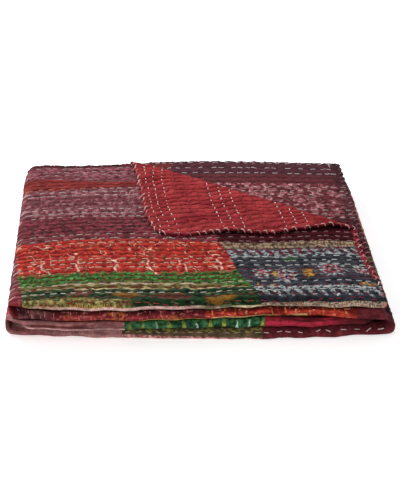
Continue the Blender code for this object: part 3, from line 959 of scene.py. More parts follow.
def leafed(t):
    t.ruffle(11, 9, 28)
    green = t.mix(t.noise(12, 6, 29, 2), dye(14, 30, 18), dye(42, 70, 40))
    green = t.mix(t.noise(9, 4, 30, 1).between(0.54, 0.64), green, dye(18, 18, 18))
    green = t.mix(t.noise(9, 3.0, 31, 1).between(0.62, 0.68) * 0.6, green, dye(120, 130, 92))
    for u, v, wide, long, colour in (
        (325, 421, 15, 7, dye(100, 58, 46)),
        (277, 425, 15, 8, dye(118, 80, 30)),
        (325, 438, 14, 6, dye(112, 94, 40)),
        (228, 431, 20, 9, dye(88, 50, 38)),
        (175, 437, 17, 6, dye(122, 84, 30)),
        (378, 421, 12, 3, dye(120, 106, 66)),
    ):
        green = t.mix(t.spot(u, v, wide, long) * t.noise(5, 3, 111, 1).between(0.30, 0.42), green, colour)
    olive = t.mix(t.noise(4, 4, 32, 1).between(0.35, 0.65), dye(96, 92, 46), dye(168, 158, 98))
    olive = t.mix(t.noise(3.4, 3.4, 33, 1).between(0.56, 0.64) * 0.8, olive, dye(62, 44, 28))
    olive = t.mix(t.noise(4.2, 3.0, 108, 0).between(0.66, 0.70) * 0.8, olive, dye(150, 52, 36))
    brink = t.v + t.u * 0.012 + (t.noise(22, 60, 109) - 0.5) * 9
    green = t.mix(brink.between(440.5, 443.5) * t.u.between(262, 285), green, olive)
    fades = t.u.between(300, 345) * t.v.between(424, 434) * 0.5
    green = t.mix(fades * t.noise(8, 4, 110, 1).between(0.45, 0.55), green, olive)
    between = t.mix(t.noise(7, 4, 34, 1).between(0.42, 0.55), dye(104, 100, 58), dye(84, 54, 28))
    top = t.wavy_v + (t.noise(17, 60, 35, 0) - 0.5) * 9
    lines = t.strip(394.0, 398.0, 0.7, top).most(t.strip(406.5, 410.5, 0.8, top))
    body = t.mix(top.between(409, 410), between, green)
    bead = (t.u * (2 * math.pi / 2.6)).sine().between(-0.2, 0.4) * t.v.between(446.8, 447.2) * t.u.between(292, 305)
    body = t.mix(bead * 0.85, body, dye(188, 150, 66))
    body = t.mix(t.v.between(447.6, 448.4) * (t.u < 172) * t.noise(9, 4, 119, 1).between(0.3, 0.45), body, dye(190, 176, 140))
    return t.mix(lines * t.noise(9, 4, 117, 1).between(0.30, 0.45), body, dye(176, 160, 118))


def plum(t):
    field = t.mix(t.noise(14, 10, 36, 2), dye(36, 0, 6), dye(66, 0, 12))
    return t.mix(t.noise(6, 3, 37, 1).between(0.6, 0.7) * 0.4, field, dye(84, 12, 24))


def tan(t):
    rib = (t.u * (2 * math.pi / 1.9) + t.v * 0.9).sine().between(-0.7, 0.7)
    field = t.mix(t.noise(2.4, 9, 38, 1).between(0.35, 0.65), dye(78, 62, 50), dye(158, 138, 112))
    field = t.mix(t.noise(7, 5, 39, 1).between(0.6, 0.72) * 0.6, field, dye(128, 58, 48))
    edge = (t.v > 440) * (t.v < 480)
    beads = t.noise(1.7, 1.1, 118, 1).between(0.46, 0.56)
    cord = t.mix((rib * 0.3).most(beads), dye(190, 168, 148), dye(96, 76, 62))
    cord = t.mix(t.noise(8, 5, 107, 1).between(0.60, 0.70) * 0.6, cord, dye(150, 84, 72))
    return t.mix(edge * 0.9, field, cord)


def charcoal(t):
    t.ruffle(8, 5, 40)
    field = t.mix(t.noise(8, 8, 41, 2).between(0.3, 0.7), dye(30, 32, 38), dye(62, 62, 70))
    field = t.mix(t.noise(6, 4, 42, 1).between(0.6, 0.7) * 0.5, field, dye(44, 28, 52))
    pale = t.mix(t.noise(3, 4, 43, 1).between(0.3, 0.7), dye(112, 118, 122), dye(186, 190, 188))
    # a comb of pale flames on a line, crimson between them
    high = t.wavy_v + t.u.between(84, 70) * 5
    flame = ((t.wavy_u + (t.v - 312) * 0.35) / 12.6).part() - 0.5
    flames = (flame.size() * 12.6).between(4.2, 2.6) * t.strip(303, 324, 2, high)
    flames = flames * t.noise(4, 4, 44, 1).between(0.40, 0.50)
    field = t.mix(t.strip(300, 319, 2, high) * t.noise(4, 3, 45, 1).between(0.54, 0.60) * 0.9, field, dye(118, 46, 60))
    flames = flames.most(t.strip(321.5, 325.5, 0.8, high) * t.noise(7, 4, 46, 1).between(0.42, 0.50))
    field = t.mix(t.spot(92, 331, 10, 6) * t.noise(4, 3, 112, 1).between(0.36, 0.46), field, dye(44, 78, 42))
    field = t.mix(flames * 0.92, field, pale)
    # flowers along the middle: ragged crimson hearts, with pale tips thrown out round them
    for u, v, wide, long in ((127, 373, 10, 13), (101, 378, 11, 19), (48, 364, 15, 18), (14, 365, 8, 13)):
        ring = t.spot(u, v, wide * 1.25, long * 1.15, 0.5) * t.noise(5, 4, 47, 1).between(0.50, 0.56)
        heart = t.spot(u, v, wide * 0.8, long * 0.75, 0.5) * t.noise(5, 3.6, 48, 1).between(0.42, 0.50)
        field = t.mix(heart, field, t.mix(t.noise(3, 3, 113, 1), dye(112, 30, 44), dye(168, 58, 76)))
        field = t.mix(ring, field, pale)
    for u, v, wide, long in ((75, 373, 7, 12), (113, 377, 3.5, 7), (132, 407, 3, 6), (117, 410, 3, 6), (13, 404, 9, 4)):
        gold = t.mix(t.noise(3, 3, 49, 1), dye(150, 98, 28), dye(206, 160, 70))
        field = t.mix(t.spot(u, v, wide, long, 0.5) * t.noise(4, 4, 114, 1).between(0.38, 0.48) * 0.9, field, gold)
    # the fringe: pale blades over dark blue
    blade = ((t.wavy_u + (t.v - 425) * 0.42) / 12.2).part() - 0.5
    width = (t.v - 412) / 30 * 2.4
    blades = (blade.size() * 12.2 + width).between(4.9, 3.5) * t.strip(410, 438, 2)
    blades = blades * t.noise(3.2, 5, 50, 1).between(0.38, 0.48)
    field = t.mix(t.strip(420, 446, 4) * 0.6, field, dye(34, 38, 45))
    field = t.mix(blades * 0.9, field, pale)
    tuft = t.noise(4, 4, 51, 1).between(0.54, 0.60) * t.strip(406, 420, 1.5)
    return t.mix(tuft * 0.85, field, pale)


def side(t):
    field = t.mix(t.noise(10, 14, 52, 2), dye(84, 29, 36), dye(126, 57, 62))
    field = t.mix(t.v.between(388, 425) * 0.8, field, dye(120, 34, 44))
    return t.mix(t.noise(3, 11, 53, 1).between(0.60, 0.70) * 0.5, field, dye(153, 97, 97))


def ribbed(t):
    rib = ((t.u + t.v * 0.25) * (2 * math.pi / 1.8)).sine().between(-0.6, 0.7)
    rib = rib * t.noise(7, 9, 97, 1).between(0.3, 0.7)
    field = t.mix(t.noise(30, 3, 54, 1).between(0.40, 0.60), dye(98, 50, 50), dye(168, 114, 112))
    field = t.mix((t.u > 1180) * t.v.between(448.8, 450.4) * 0.6, field, dye(158, 108, 106))
    field = t.mix((t.u > 1180) * t.v.between(446.2, 447.6) * t.v.between(450.2, 448.6) * 0.5, field, dye(72, 34, 34))
    field = t.mix((t.u > 1180) * t.v.between(446.6, 445.2) * 0.9, field, dye(214, 172, 166))
    field = t.mix((t.u < 420) * 0.8, field, dye(222, 182, 172))
    field = t.mix((t.u > 420) * t.u.between(1196, 1150) * 0.45, field, dye(196, 152, 148))
    gold = (t.u < 420) * t.u.between(345, 372) * t.noise(3, 3, 98, 1).between(0.4, 0.6)
    field = t.mix(gold, field, dye(146, 120, 48))
    # the piping thins to a pale line on green where its cord runs out
    runs_out = t.u.between(222, 178)
    green = t.mix(t.v.between(448.6, 449.4), dye(84, 100, 66), dye(192, 178, 148))
    field = t.mix(runs_out * t.noise(14, 6, 120, 1).between(0.25, 0.45), field, green)
    return t.mix(rib * 0.50, field, dye(100, 50, 52))


def wine(t):
    field = t.mix(t.noise(9, 6, 55, 2).between(0.3, 0.7), dye(92, 27, 33), dye(150, 52, 56))
    # painted shade: a dark band along the lip's upper side, where the lip above shades it
    field = t.mix(t.v.between(448.5, 451.0) * 0.75, field, dye(58, 17, 22))
    field = t.mix(t.noise(6, 3, 121, 1).between(0.58, 0.68) * 0.6, field, dye(172, 104, 98))
    near_bend = t.u.between(452, 436)
    dull = t.mix(t.noise(5, 5, 122, 1).between(0.4, 0.6), dye(112, 74, 74), dye(62, 32, 36))
    field = t.mix(near_bend * 0.85, field, dull)
    block = t.spot(465, 446, 6, 5).most(t.spot(516, 447, 12, 8)).most(t.spot(572, 446, 14, 4))
    field = t.mix(block * t.noise(3.5, 5, 56, 1).between(0.46, 0.54) * 0.8, field, dye(160, 88, 44))
    ticks = t.noise(2.0, 9, 57, 1).between(0.63, 0.69) * t.noise(22, 22, 99, 0).between(0.4, 0.6)
    field = t.mix(ticks * 0.8, field, dye(206, 132, 124))
    worn = t.v.between(445.8, 444.8) * t.noise(11, 9, 100, 1).between(0.45, 0.6) * (t.u > 455)
    field = t.mix(worn * 0.8, field, dye(186, 92, 72))
    return t.mix(t.v.between(445.4, 444.6) * t.u.between(536, 548), field, dye(206, 156, 70))


def flame(t):
    field = t.mix(t.noise(10, 5, 58, 2).between(0.3, 0.7), dye(100, 24, 24), dye(200, 70, 54))
    # painted shade: a dark band along the lip's upper side, where the lip above shades it
    field = t.mix(t.v.between(449.2, 451.2) * 0.75, field, dye(66, 14, 12))
    off_tick = (((t.u + (t.noise(24, 24, 59) - 0.5) * 14) / 13).part() - 0.5).size() * 13
    tick = off_tick.between(1.1, 0.3) * t.noise(5, 3, 60, 1).between(0.44, 0.58)
    field = t.mix(tick * 0.8, field, dye(214, 128, 66))
    field = t.mix(t.noise(5, 2.4, 123, 1).between(0.62, 0.70) * 0.7, field, dye(222, 160, 132))
    hem = t.v - t.u.between(696, 708) * 0.9 + (t.noise(7, 30, 130, 1) - 0.5) * 1.1
    hemline = hem.between(446.4, 445.6) * t.noise(16, 9, 101, 1).between(0.30, 0.42)
    return t.mix(hemline * (t.u < 719), field, dye(216, 170, 112))


def dark(t):
    field = t.mix(t.noise(12, 9, 61, 2), dye(72, 22, 29), dye(110, 44, 50))
    return t.mix(t.noise(3, 8, 62, 1).between(0.6, 0.7) * 0.4, field, dye(131, 58, 61))


def khaki(t):
    field = t.mix(t.noise(9, 4, 63, 2), dye(58, 54, 38), dye(110, 86, 68))
    field = t.mix(t.noise(4, 1.6, 102, 1).between(0.5, 0.6) * 0.8 * t.v.between(446.4, 445.4), field, dye(150, 146, 62))
    field = t.mix(t.noise(6, 2.5, 64, 1).between(0.62, 0.68) * 0.6, field, dye(134, 100, 62))
    # under it a rose sari shows along the bottom, wider towards the left
    rose = t.mix(t.noise(4, 3, 103, 1).between(0.3, 0.7), dye(122, 56, 60), dye(204, 152, 146))
    rose = t.mix(t.noise(6, 2, 124, 1).between(0.56, 0.64) * 0.8, rose, dye(142, 36, 48))
    low = t.v + (t.u - 947) * 0.015
    return t.mix(low.between(449.8, 450.6), field, rose)


def bells(t):
    field = t.mix(t.noise(7, 5, 65, 2).between(0.3, 0.7), dye(22, 54, 36), dye(64, 114, 72))
    field = t.mix(t.noise(3, 3, 104, 1).between(0.60, 0.66) * 0.7, field, dye(14, 30, 22))
    slid = t.u - 8 + (t.noise(9, 9, 105) - 0.5) * 6
    bell = ((slid / 14.2).part() - 0.5).size() * 14.2
    kind = t.chance((slid / 14.2).whole(), 0.0, 3.0)
    worn = t.noise(2.6, 2.6, 106, 1).between(0.34, 0.48) * (0.45 + t.u.between(1370, 1440) * 0.5)
    worn = worn * t.v.between(452.6, 451.4) * t.v.between(443.4, 444.2)
    flared = (bell - (449 - t.v) * 0.26).between(2.2, 1.0) * worn
    slim = (bell - (449 - t.v) * 0.12).between(1.3, 0.5) * worn
    gold = t.mix(t.v.between(446, 450), dye(172, 178, 76), dye(128, 112, 40))
    field = t.mix(flared * (kind > 0.38) * 0.9, field, gold)
    return t.mix(slim * (kind < 0.38), field, dye(178, 206, 180))


def crimson(t):
    far = t.u + (t.noise(20, 2, 115, 1) - 0.5) * 30
    field = t.mix(t.noise(16, 12, 67, 2), dye(137, 30, 48), dye(186, 51, 69))
    field = t.mix(t.noise(14, 5, 68, 1).between(0.62, 0.74) * 0.6, field, dye(85, 29, 38))
    # darker along the top towards the right: partly the dark second ply of the lip above showing, partly painted shade
    # under that lip
    under = t.v.between(449.0, 450.2) * t.u.between(1500, 1520) * t.noise(18, 2, 116, 1).between(0.3, 0.5)
    return t.mix(far.between(1558, 1584).most(under), field, dye(88, 26, 34))


def binding(t):
    field = t.mix(t.noise(12, 9, 69, 2).between(0.3, 0.7), dye(92, 20, 30), dye(132, 36, 46))
    plain = (t.v > 480).most(t.u > 1000).most((t.v < 12) * (t.u > 276))
    return t.mix(plain * 0.92, field, dye(62, 24, 30))


def plain_back(t):
    field = t.mix(t.noise(34, 34, 70, 2).between(0.3, 0.7), dye(128, 33, 38), dye(160, 52, 54))
    field = t.mix(t.noise(3.4, 12, 71, 1).between(0.58, 0.72) * 0.5, field, dye(104, 20, 25))
    seam = (t.v - 53 + (t.noise(60, 60, 72) - 0.5) * 2).size().between(0.9, 0.3)
    field = t.mix(seam * 0.45, field, dye(83, 18, 23))
    # the last ply's underside, dark, with a dull green piece
    deep = t.mix(t.noise(9, 14, 125, 1), dye(46, 18, 24), dye(84, 34, 42))
    green = t.mix(t.noise(5, 9, 126, 1).between(0.4, 0.6), dye(38, 40, 28), dye(86, 80, 46))
    deep = t.mix(t.v.between(1466, 1462) * t.v.between(1398, 1402), deep, green)
    hidden = ((t.v > 470) * (t.u < 22)).most(t.v > 1300)
    return t.mix(hidden, field, deep)


def plum_back(t):
    deep = t.mix(t.noise(12, 8, 73, 2), dye(56, 22, 30), dye(86, 44, 53))
    warm = t.mix(t.noise(12, 5, 74, 2), dye(76, 29, 35), dye(101, 46, 50))
    field = t.mix(t.v.between(1742, 1734), deep, warm)
    patch = t.v.between(1756, 1760) * t.u.between(214, 222) * t.noise(9, 9, 127, 1).between(0.25, 0.4)
    field = t.mix(patch * 0.8, field, dye(98, 38, 32))
    edge = t.u + (t.noise(14, 26, 129, 1) - 0.5) * 14
    return t.mix(edge.between(18, 8) * 0.8, field, dye(54, 24, 30))


def figured_back(t):
    t.ruffle(10, 14, 75)
    field = t.mix(t.noise(12, 12, 76, 2), dye(74, 24, 30), dye(120, 50, 56))
    shape = t.noise(9, 15, 77, 2, t.wavy_u, t.wavy_v)
    field = t.mix(shape.between(0.47, 0.53) * 0.8, field, dye(146, 84, 90))
    field = t.mix((shape - 0.465).size().between(0.024, 0.010) * 0.85, field, dye(50, 16, 22))
    marks = t.noise(4, 7, 79, 1).between(0.55, 0.64)
    field = t.mix(marks * shape.between(0.44, 0.52) * 0.75, field, dye(198, 146, 148))
    field = t.mix(t.noise(6, 6, 78, 2, t.wavy_u).between(0.55, 0.62) * 0.8, field, dye(66, 22, 28))
    edge = t.u + (t.noise(14, 26, 128, 1) - 0.5) * 26
    return t.mix(edge.between(24, 8) * 0.8, field, dye(58, 26, 32))


def woven(name, paint):
    """A sari's cotton: its print, worn a little, in a fine weave that the stitches pucker, with painted shade darkening
    its dips.
    """
    t = Loom(name)
    t.ruffle(3, 10, 80)
    colour = paint(t)
    # the face dips along its rows, and the plain back where its short stitches draw it together: the dips are bumped
    # in, and also darkened in colour as painted shade
    off_row = ((t.rows + 0.5).part() - 0.5).size() * 2 + (t.noise(7, 5, 86, 1) - 0.5) * 0.8
    off_stitch = (t.stitches.part() - 0.5).size() * 2 + (t.noise(9, 7, 88, 2) - 0.5) * 0.9
    if name == "plain_back_sari":
        dip_and_painted_shade = off_stitch.between(0.50, 0.02)
        dip_and_painted_shade = dip_and_painted_shade.most(off_row.between(0.35, 0.0) * 0.45)
    else:
        dip_and_painted_shade = off_row.between(0.65, 0.0)
    fleck = t.noise(5.4, 3.4, 82, 2).between(0.30, 0.70)
    fine = t.noise(1.9, 1.3, 87, 1).between(0.2, 0.8)
    calm = 0.5 if name == "plain_back_sari" else 1.0
    worn = 0.86 + t.noise(23, 23, 81, 2) * 0.22
    # painted shade: the colour is darkened in the dips, on top of the worn, flecked and fine tone
    shade = worn * (1.0 + (fleck - 0.5) * (0.56 * calm)) * (0.90 + fine * 0.20) * (1.04 - dip_and_painted_shade * 0.31)
    colour = t.node("VectorMath", {"operation": "SCALE"}, {0: colour, "Scale": shade})
    t.tree.links.new(colour.socket, t.shader.inputs["Base Color"])
    threads = (t.u * (2 * math.pi / 1.1)).sine() * (t.v * (2 * math.pi / 1.1)).sine() * 0.05
    crease = t.noise(3.4, 9, 83, 2) * 0.8 + t.noise(9, 3.0, 84, 1) * 0.8
    height = threads + crease + (1.0 - dip_and_painted_shade) * 1.1
    bump = t.node("Bump", {}, {"Height": height, "Strength": 1.0, "Distance": 0.0013})
    t.tree.links.new(bump.socket, t.shader.inputs["Normal"])
    rough = 0.80 + t.noise(9, 9, 85) * 0.15
    t.tree.links.new(rough.socket, t.shader.inputs["Roughness"])
    t.shader.inputs["Sheen Weight"].default_value = 0.01
    t.shader.inputs["Sheen Roughness"].default_value = 0.5
    t.shader.inputs["Specular IOR Level"].default_value = 0.05
    return t.material


PAINTS = (
    mauve, rust, figured, streaked, orange, leafed, plum, tan, charcoal, side, ribbed, wine, flame,
    dark, khaki, bells, crimson, binding, plain_back, plum_back, figured_back,
)
for name, paint in zip(SARIS, PAINTS):
    mesh.materials.append(woven(name + "_sari", paint))
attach(quilt, "root")
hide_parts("quilt")

# ---------------------------------------------------------------------------------------------
# The quilting stitches: cotton thread run by hand through all the layers in rows, on the face and,
# between two of those, on the back. Rows of white thread go in threes, with rows in the colours of
# the saris between them.
# ---------------------------------------------------------------------------------------------
WHITE_ROWS = (0, 1, 2, 6, 7, 8, 12, 13, 14, 19, 20, 21, 25, 26, 27, 31, 33)
FACE_STITCH, BACK_STITCH = 0.0066, 0.0036
THREAD = 0.00050
THREAD_SIDES = 5
THREADS = {
    # sari: white rows' thread as it looks there, the other rows' thread
    "mauve": ((196, 168, 166), (150, 114, 120)),
    "rust": ((196, 130, 112), (124, 52, 46)),
    "figured": ((212, 194, 190), (128, 90, 96)),
    "streaked": ((204, 186, 174), (96, 48, 56)),
    "orange": ((240, 200, 180), (146, 38, 32)),
    "leafed": ((226, 220, 210), (132, 54, 42)),
    "plum": ((170, 130, 134), (70, 18, 30)),
    "tan": ((206, 196, 168), (150, 84, 64)),
    "charcoal": ((216, 216, 212), (146, 44, 62)),
    "side": ((224, 200, 194), (176, 136, 136)),
    "ribbed": ((230, 214, 206), (170, 120, 116)),
    "wine": ((215, 180, 170), (140, 62, 62)),
    "flame": ((232, 190, 150), (170, 60, 44)),
    "dark": ((206, 184, 182), (96, 50, 54)),
    "khaki": ((166, 152, 116), (190, 166, 80)),
    "bells": ((226, 226, 210), (60, 100, 60)),
    "crimson": ((190, 90, 96), (150, 44, 56)),
    "binding": ((226, 190, 182), (150, 60, 66)),
    "plain_back": ((242, 228, 222), (140, 40, 46)),
    "plum_back": ((216, 198, 198), (92, 58, 64)),
    "figured_back": ((206, 180, 176), (130, 80, 86)),
}


def surface(u, v, face, over):
    """Places a little over the cloth's face or its plain back."""
    side = 1 if face else -1
    return resting(lies_at(u, v, stands(u, v, face) + side * over), THREAD_RESTS_AT)


def row_chains(place, u_from, u_to, face, length, rng):
    """The stitches of one row: their places on the cloth, and for each its points along the thread."""
    along = np.arange(u_from, u_to, 0.0005)
    row = np.full_like(along, place)
    count = stitch_count(along, row) - (0.0 if face else 0.5)
    middles = np.interp(np.arange(math.ceil(count[0]), math.floor(count[-1]) + 1), count, along)
    middles = middles + rng.normal(0, 0.0007, len(middles))
    long = length * rng.uniform(0.80, 1.15, len(middles))
    skew = rng.normal(0, 0.0005, len(middles))
    t = np.array([-0.5, -0.42, -0.2, 0.0, 0.2, 0.42, 0.5])
    over = np.array([-0.0004, 0.0002, 0.0004, 0.00045, 0.0004, 0.0002, -0.0004])
    u = middles[:, None] + long[:, None] * t
    v = place + skew[:, None] * 2 * t
    v = v + bow(u, v)
    chains = surface(u, v, face, over[None, :] * np.ones_like(u))
    return u, v, chains


def loops_of(u, v, chains, white, sari, rng):
    """Keeps each stitch's points, thickness and dye together."""
    thick = np.array([0.55, 0.85, 1.0, 1.0, 1.0, 0.85, 0.55])
    kept = []
    for i in range(len(chains)):
        pale, tinted = THREADS[SARIS[int(sari[i])]]
        red, green, blue, _ = dye(*(pale if white else tinted))
        shade = rng.uniform(0.82, 1.08)
        kept.append((chains[i], thick * THREAD * rng.uniform(0.9, 1.15) * (1.0 if white else 0.9),
                     (red * shade, green * shade, blue * shade)))
    return kept


def row_is_white(k):
    if k == len(ROWS_ON_TOP):
        return False
    if k < len(ROWS_ON_TOP):
        return k in WHITE_ROWS
    from_last = len(ROWS) - 1 - k
    if ROWS[k] > 1.5:
        return from_last < 3 or (from_last > 4 and (from_last - 5) % 6 < 3)
    return (k - len(ROWS_ON_TOP)) % 6 < 3


rng = np.random.default_rng(5)
face_stitches, under_stitches, back_stitches = [], [], []
for k, row in enumerate(ROWS):
    white = row_is_white(k)
    if row < 0.4580:
        u, v, chains = row_chains(row, BINDING * 0.6, SIDE_FOLD + 0.002, True, FACE_STITCH, rng)
        keep = past_fold(u, v).max(axis=1) < 0.001
        sari = sari_at(u[:, 3], v[:, 3])
        keep &= ~np.isin(sari, [SARIS.index(name) for name in ("ribbed",)])
        face_stitches += loops_of(u[keep], v[keep], chains[keep], white, sari[keep], rng)
    if 0.460 < row < 0.894:
        first = ALONG.starts[2] + 0.004 if row < 0.480 else ALONG.ends[1] + 0.002
        u, v, chains = row_chains(row, first, ALONG.starts[3] - 0.001, True, FACE_STITCH, rng)
        under_stitches += loops_of(u, v, chains, white, sari_at(u[:, 3], v[:, 3]), rng)
    if row < 0.250:
        u, v, chains = row_chains(row, 0.004, 0.270, False, BACK_STITCH, rng)
        keep = past_fold(u, v).min(axis=1) > math.pi * ROLL * 0.8
        back_stitches += loops_of(u[keep], v[keep], chains[keep], white, back_at(u[keep][:, 3], v[keep][:, 3]), rng)
    if row > 1.53:
        u, v, chains = row_chains(row, 0.004, 0.290, False, FACE_STITCH, rng)
        back_stitches += loops_of(u, v, chains, white, back_at(u[:, 3], v[:, 3]), rng)


u, v, chains = row_chains(0.4460, ALONG.starts[2] - 0.003, 1.103, True, FACE_STITCH * 0.85, rng)
bold = loops_of(u, v, chains, True, sari_at(u[:, 3], v[:, 3]), rng)
face_stitches += bold


def thread_material():
    t = Loom("cotton_thread")
    colour = t.node("Attribute", {"attribute_name": "dye"}, {})
    place = t.node("TexCoord", {}, {}, 3)
    fuzz = t.node("TexNoise", {}, {"Vector": place, "Scale": 900.0, "Detail": 1.0})
    worn = fuzz * 0.5 + 0.75
    colour = t.node("VectorMath", {"operation": "SCALE"}, {0: colour, "Scale": worn})
    t.tree.links.new(colour.socket, t.shader.inputs["Base Color"])
    bump = t.node("Bump", {}, {"Height": fuzz, "Strength": 0.6, "Distance": 0.0004})
    t.tree.links.new(bump.socket, t.shader.inputs["Normal"])
    t.shader.inputs["Roughness"].default_value = 0.75
    t.shader.inputs["Specular IOR Level"].default_value = 0.15
    return t.material


def thread_tree():
    """Sweeps a round thread along every chain of points."""
    tree = bpy.data.node_groups.new("thread", "GeometryNodeTree")
    put, take = tree.interface.new_socket, tree.nodes.new
    put("Geometry", in_out="INPUT", socket_type="NodeSocketGeometry")
    put("Thread radius", in_out="INPUT", socket_type="NodeSocketFloat")
    put("Thread sides", in_out="INPUT", socket_type="NodeSocketInt")
    put("Thread", in_out="INPUT", socket_type="NodeSocketMaterial")
    put("Geometry", in_out="OUTPUT", socket_type="NodeSocketGeometry")
    start, end = take("NodeGroupInput"), take("NodeGroupOutput")
    curve, radius = take("GeometryNodeMeshToCurve"), take("GeometryNodeSetCurveRadius")
    thick, times = take("GeometryNodeInputNamedAttribute"), take("ShaderNodeMath")
    ring, sweep = take("GeometryNodeCurvePrimitiveCircle"), take("GeometryNodeCurveToMesh")
    real, finish = take("GeometryNodeRealizeInstances"), take("GeometryNodeSetMaterial")
    soft = take("GeometryNodeSetShadeSmooth")
    thick.data_type = "FLOAT"
    thick.inputs["Name"].default_value = "thick"
    times.operation = "MULTIPLY"
    sweep.inputs["Fill Caps"].default_value = True
    ring.inputs["Radius"].default_value = 1.0
    link = tree.links.new
    link(start.outputs["Geometry"], curve.inputs["Mesh"])
    link(curve.outputs["Curve"], radius.inputs["Curve"])
    link(thick.outputs["Attribute"], times.inputs[0])
    link(start.outputs["Thread radius"], times.inputs[1])
    link(times.outputs[0], radius.inputs["Radius"])
    link(start.outputs["Thread sides"], ring.inputs["Resolution"])
    link(radius.outputs["Curve"], sweep.inputs["Curve"])
    link(ring.outputs["Curve"], sweep.inputs["Profile Curve"])
    if "Scale" in sweep.inputs:
        link(times.outputs[0], sweep.inputs["Scale"])
    link(sweep.outputs["Mesh"], real.inputs["Geometry"])
    link(real.outputs["Geometry"], soft.inputs["Geometry"])
    link(soft.outputs["Geometry"], finish.inputs["Geometry"])
    link(start.outputs["Thread"], finish.inputs["Material"])
    link(finish.outputs["Geometry"], end.inputs["Geometry"])
    return tree


def sewn(name, stitches, tree, thread):
    """Makes one piece of all these stitches."""
    points = np.concatenate([chain for chain, _, _ in stitches])
    thick = np.concatenate([size for _, size, _ in stitches]) / THREAD
    dyes = np.concatenate([np.tile((*colour, 1.0), (len(chain), 1)) for chain, _, colour in stitches])
    edges, first = [], 0
    for chain, _, _ in stitches:
        edges += [(first + i, first + i + 1) for i in range(len(chain) - 1)]
        first += len(chain)
    mesh = bpy.data.meshes.new(name)
    mesh.from_pydata(points.tolist(), edges, [])
    mesh.attributes.new("thick", "FLOAT", "POINT").data.foreach_set("value", thick)
    mesh.attributes.new("dye", "FLOAT_COLOR", "POINT").data.foreach_set("color", dyes.ravel())
    piece = bpy.data.objects.new(name, mesh)
    bpy.context.scene.collection.objects.link(piece)
    sweep = piece.modifiers.new("thread", "NODES")
    sweep.node_group = tree
    for item in tree.interface.items_tree:
        if item.item_type == "SOCKET" and item.in_out == "INPUT" and item.name != "Geometry":
            sweep[item.identifier] = {
                "Thread radius": THREAD, "Thread sides": THREAD_SIDES, "Thread": thread,
            }[item.name]
    shaped = piece.evaluated_get(bpy.context.evaluated_depsgraph_get())
    plain = bpy.data.meshes.new_from_object(shaped)
    piece.modifiers.remove(sweep)
    piece.data = plain
    plain.name = name
    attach(piece, "root")
    print(name, len(stitches), "stitches", sum(len(p.vertices) - 2 for p in plain.polygons))
    return piece


thread, tree = thread_material(), thread_tree()
# a loose end of thread stands up at the back hem
t = np.linspace(0, 1, 7)
loose_u = 0.0135 - 0.0030 * t + 0.0022 * np.sin(math.pi * t)
loose = surface(loose_u, LONG - 0.016 + 0.016 * t, False, 0.0006 + 0.0042 * t ** 2)
back_stitches.append((loose, np.full(7, THREAD * 0.8), dye(214, 190, 190)[:3]))

sewing = [
    sewn("face_stitches", face_stitches, tree, thread),
    sewn("underside_stitches", under_stitches, tree, thread),
    sewn("back_stitches", back_stitches, tree, thread),
]

# ---------------------------------------------------------------------------------------------
# The hem stitches: a heavier pinkish thread whipped round the edge of the cloth, slanting
# ---------------------------------------------------------------------------------------------
WHIP_THREAD = 0.0006
PALE_WHIP, ROSE_WHIP, DARK_WHIP = dye(232, 200, 190), dye(190, 120, 122), dye(150, 104, 106)
DEEP_WHIP = dye(86, 36, 42)
QUARTER = math.pi / 2 * CORNER
HEM_RUNS = (
    # start, end, way out, stitch pitch, how far one leans along the hem on the face and on the back,
    # how far in it goes on each, its dyes
    ((0, LONG), (0, 0.47), (-1, 0), 0.0150, 0.004, 0.004, 0.0050, 0.0050, (DARK_WHIP, ROSE_WHIP)),
    ((0, 0.47), (0, 0.405), (-1, 0), 0.0160, 0.006, 0.004, 0.0040, 0.0042, (ROSE_WHIP, PALE_WHIP)),
    ((0, 0.405), (0, 0.2415), (-1, 0), 0.0165, 0.0115, 0.004, 0.0046, 0.0042, (PALE_WHIP, ROSE_WHIP)),
    ((0, 0.402), (0, 0.2440), (-1, 0), 0.0330, -0.0070, 0.004, 0.0050, 0.0042, (ROSE_WHIP, ROSE_WHIP)),
    ((0, 0.2415), (0, CORNER), (-1, 0), 0.0088, 0.002, 0.0042, 0.0040, 0.0018, (PALE_WHIP, ROSE_WHIP)),
    (None, None, None, 0.0150, 0.004, 0.0070, 0.0045, 0.0034, (PALE_WHIP, ROSE_WHIP)),
    ((CORNER, 0), (0.2735, 0), (0, -1), 0.0165, 0.004, 0.0125, 0.0045, 0.0046, (PALE_WHIP, ROSE_WHIP)),
    ((0.2735, 0), (WIDE, 0), (0, -1), 0.0150, 0.005, 0.004, 0.0055, 0.0045, (ROSE_WHIP, PALE_WHIP)),
    ((WIDE, 0), (WIDE, LONG), (1, 0), 0.0150, 0.005, 0.004, 0.0055, 0.0045, (DEEP_WHIP, DEEP_WHIP)),
    ((WIDE, LONG), (0, LONG), (0, 1), 0.0150, 0.005, 0.005, 0.0050, 0.0050, (DARK_WHIP, ROSE_WHIP)),
)


def along_hem(start, end, out, pitch):
    """Places on the cloth's edge in even steps, each with the way out of the cloth."""
    if start is None:
        count = round(QUARTER / pitch)
        turn = math.pi / 2 * (np.arange(count) + 0.5) / count
        out = np.stack([-np.cos(turn), -np.sin(turn)], axis=1)
        return CORNER + CORNER * out, out
    count = round(math.dist(start, end) / pitch)
    t = (np.arange(count)[:, None] + 0.5) / count
    places = np.array(start) + (np.array(end) - np.array(start)) * t
    return places, np.tile(np.array(out, float), (count, 1))


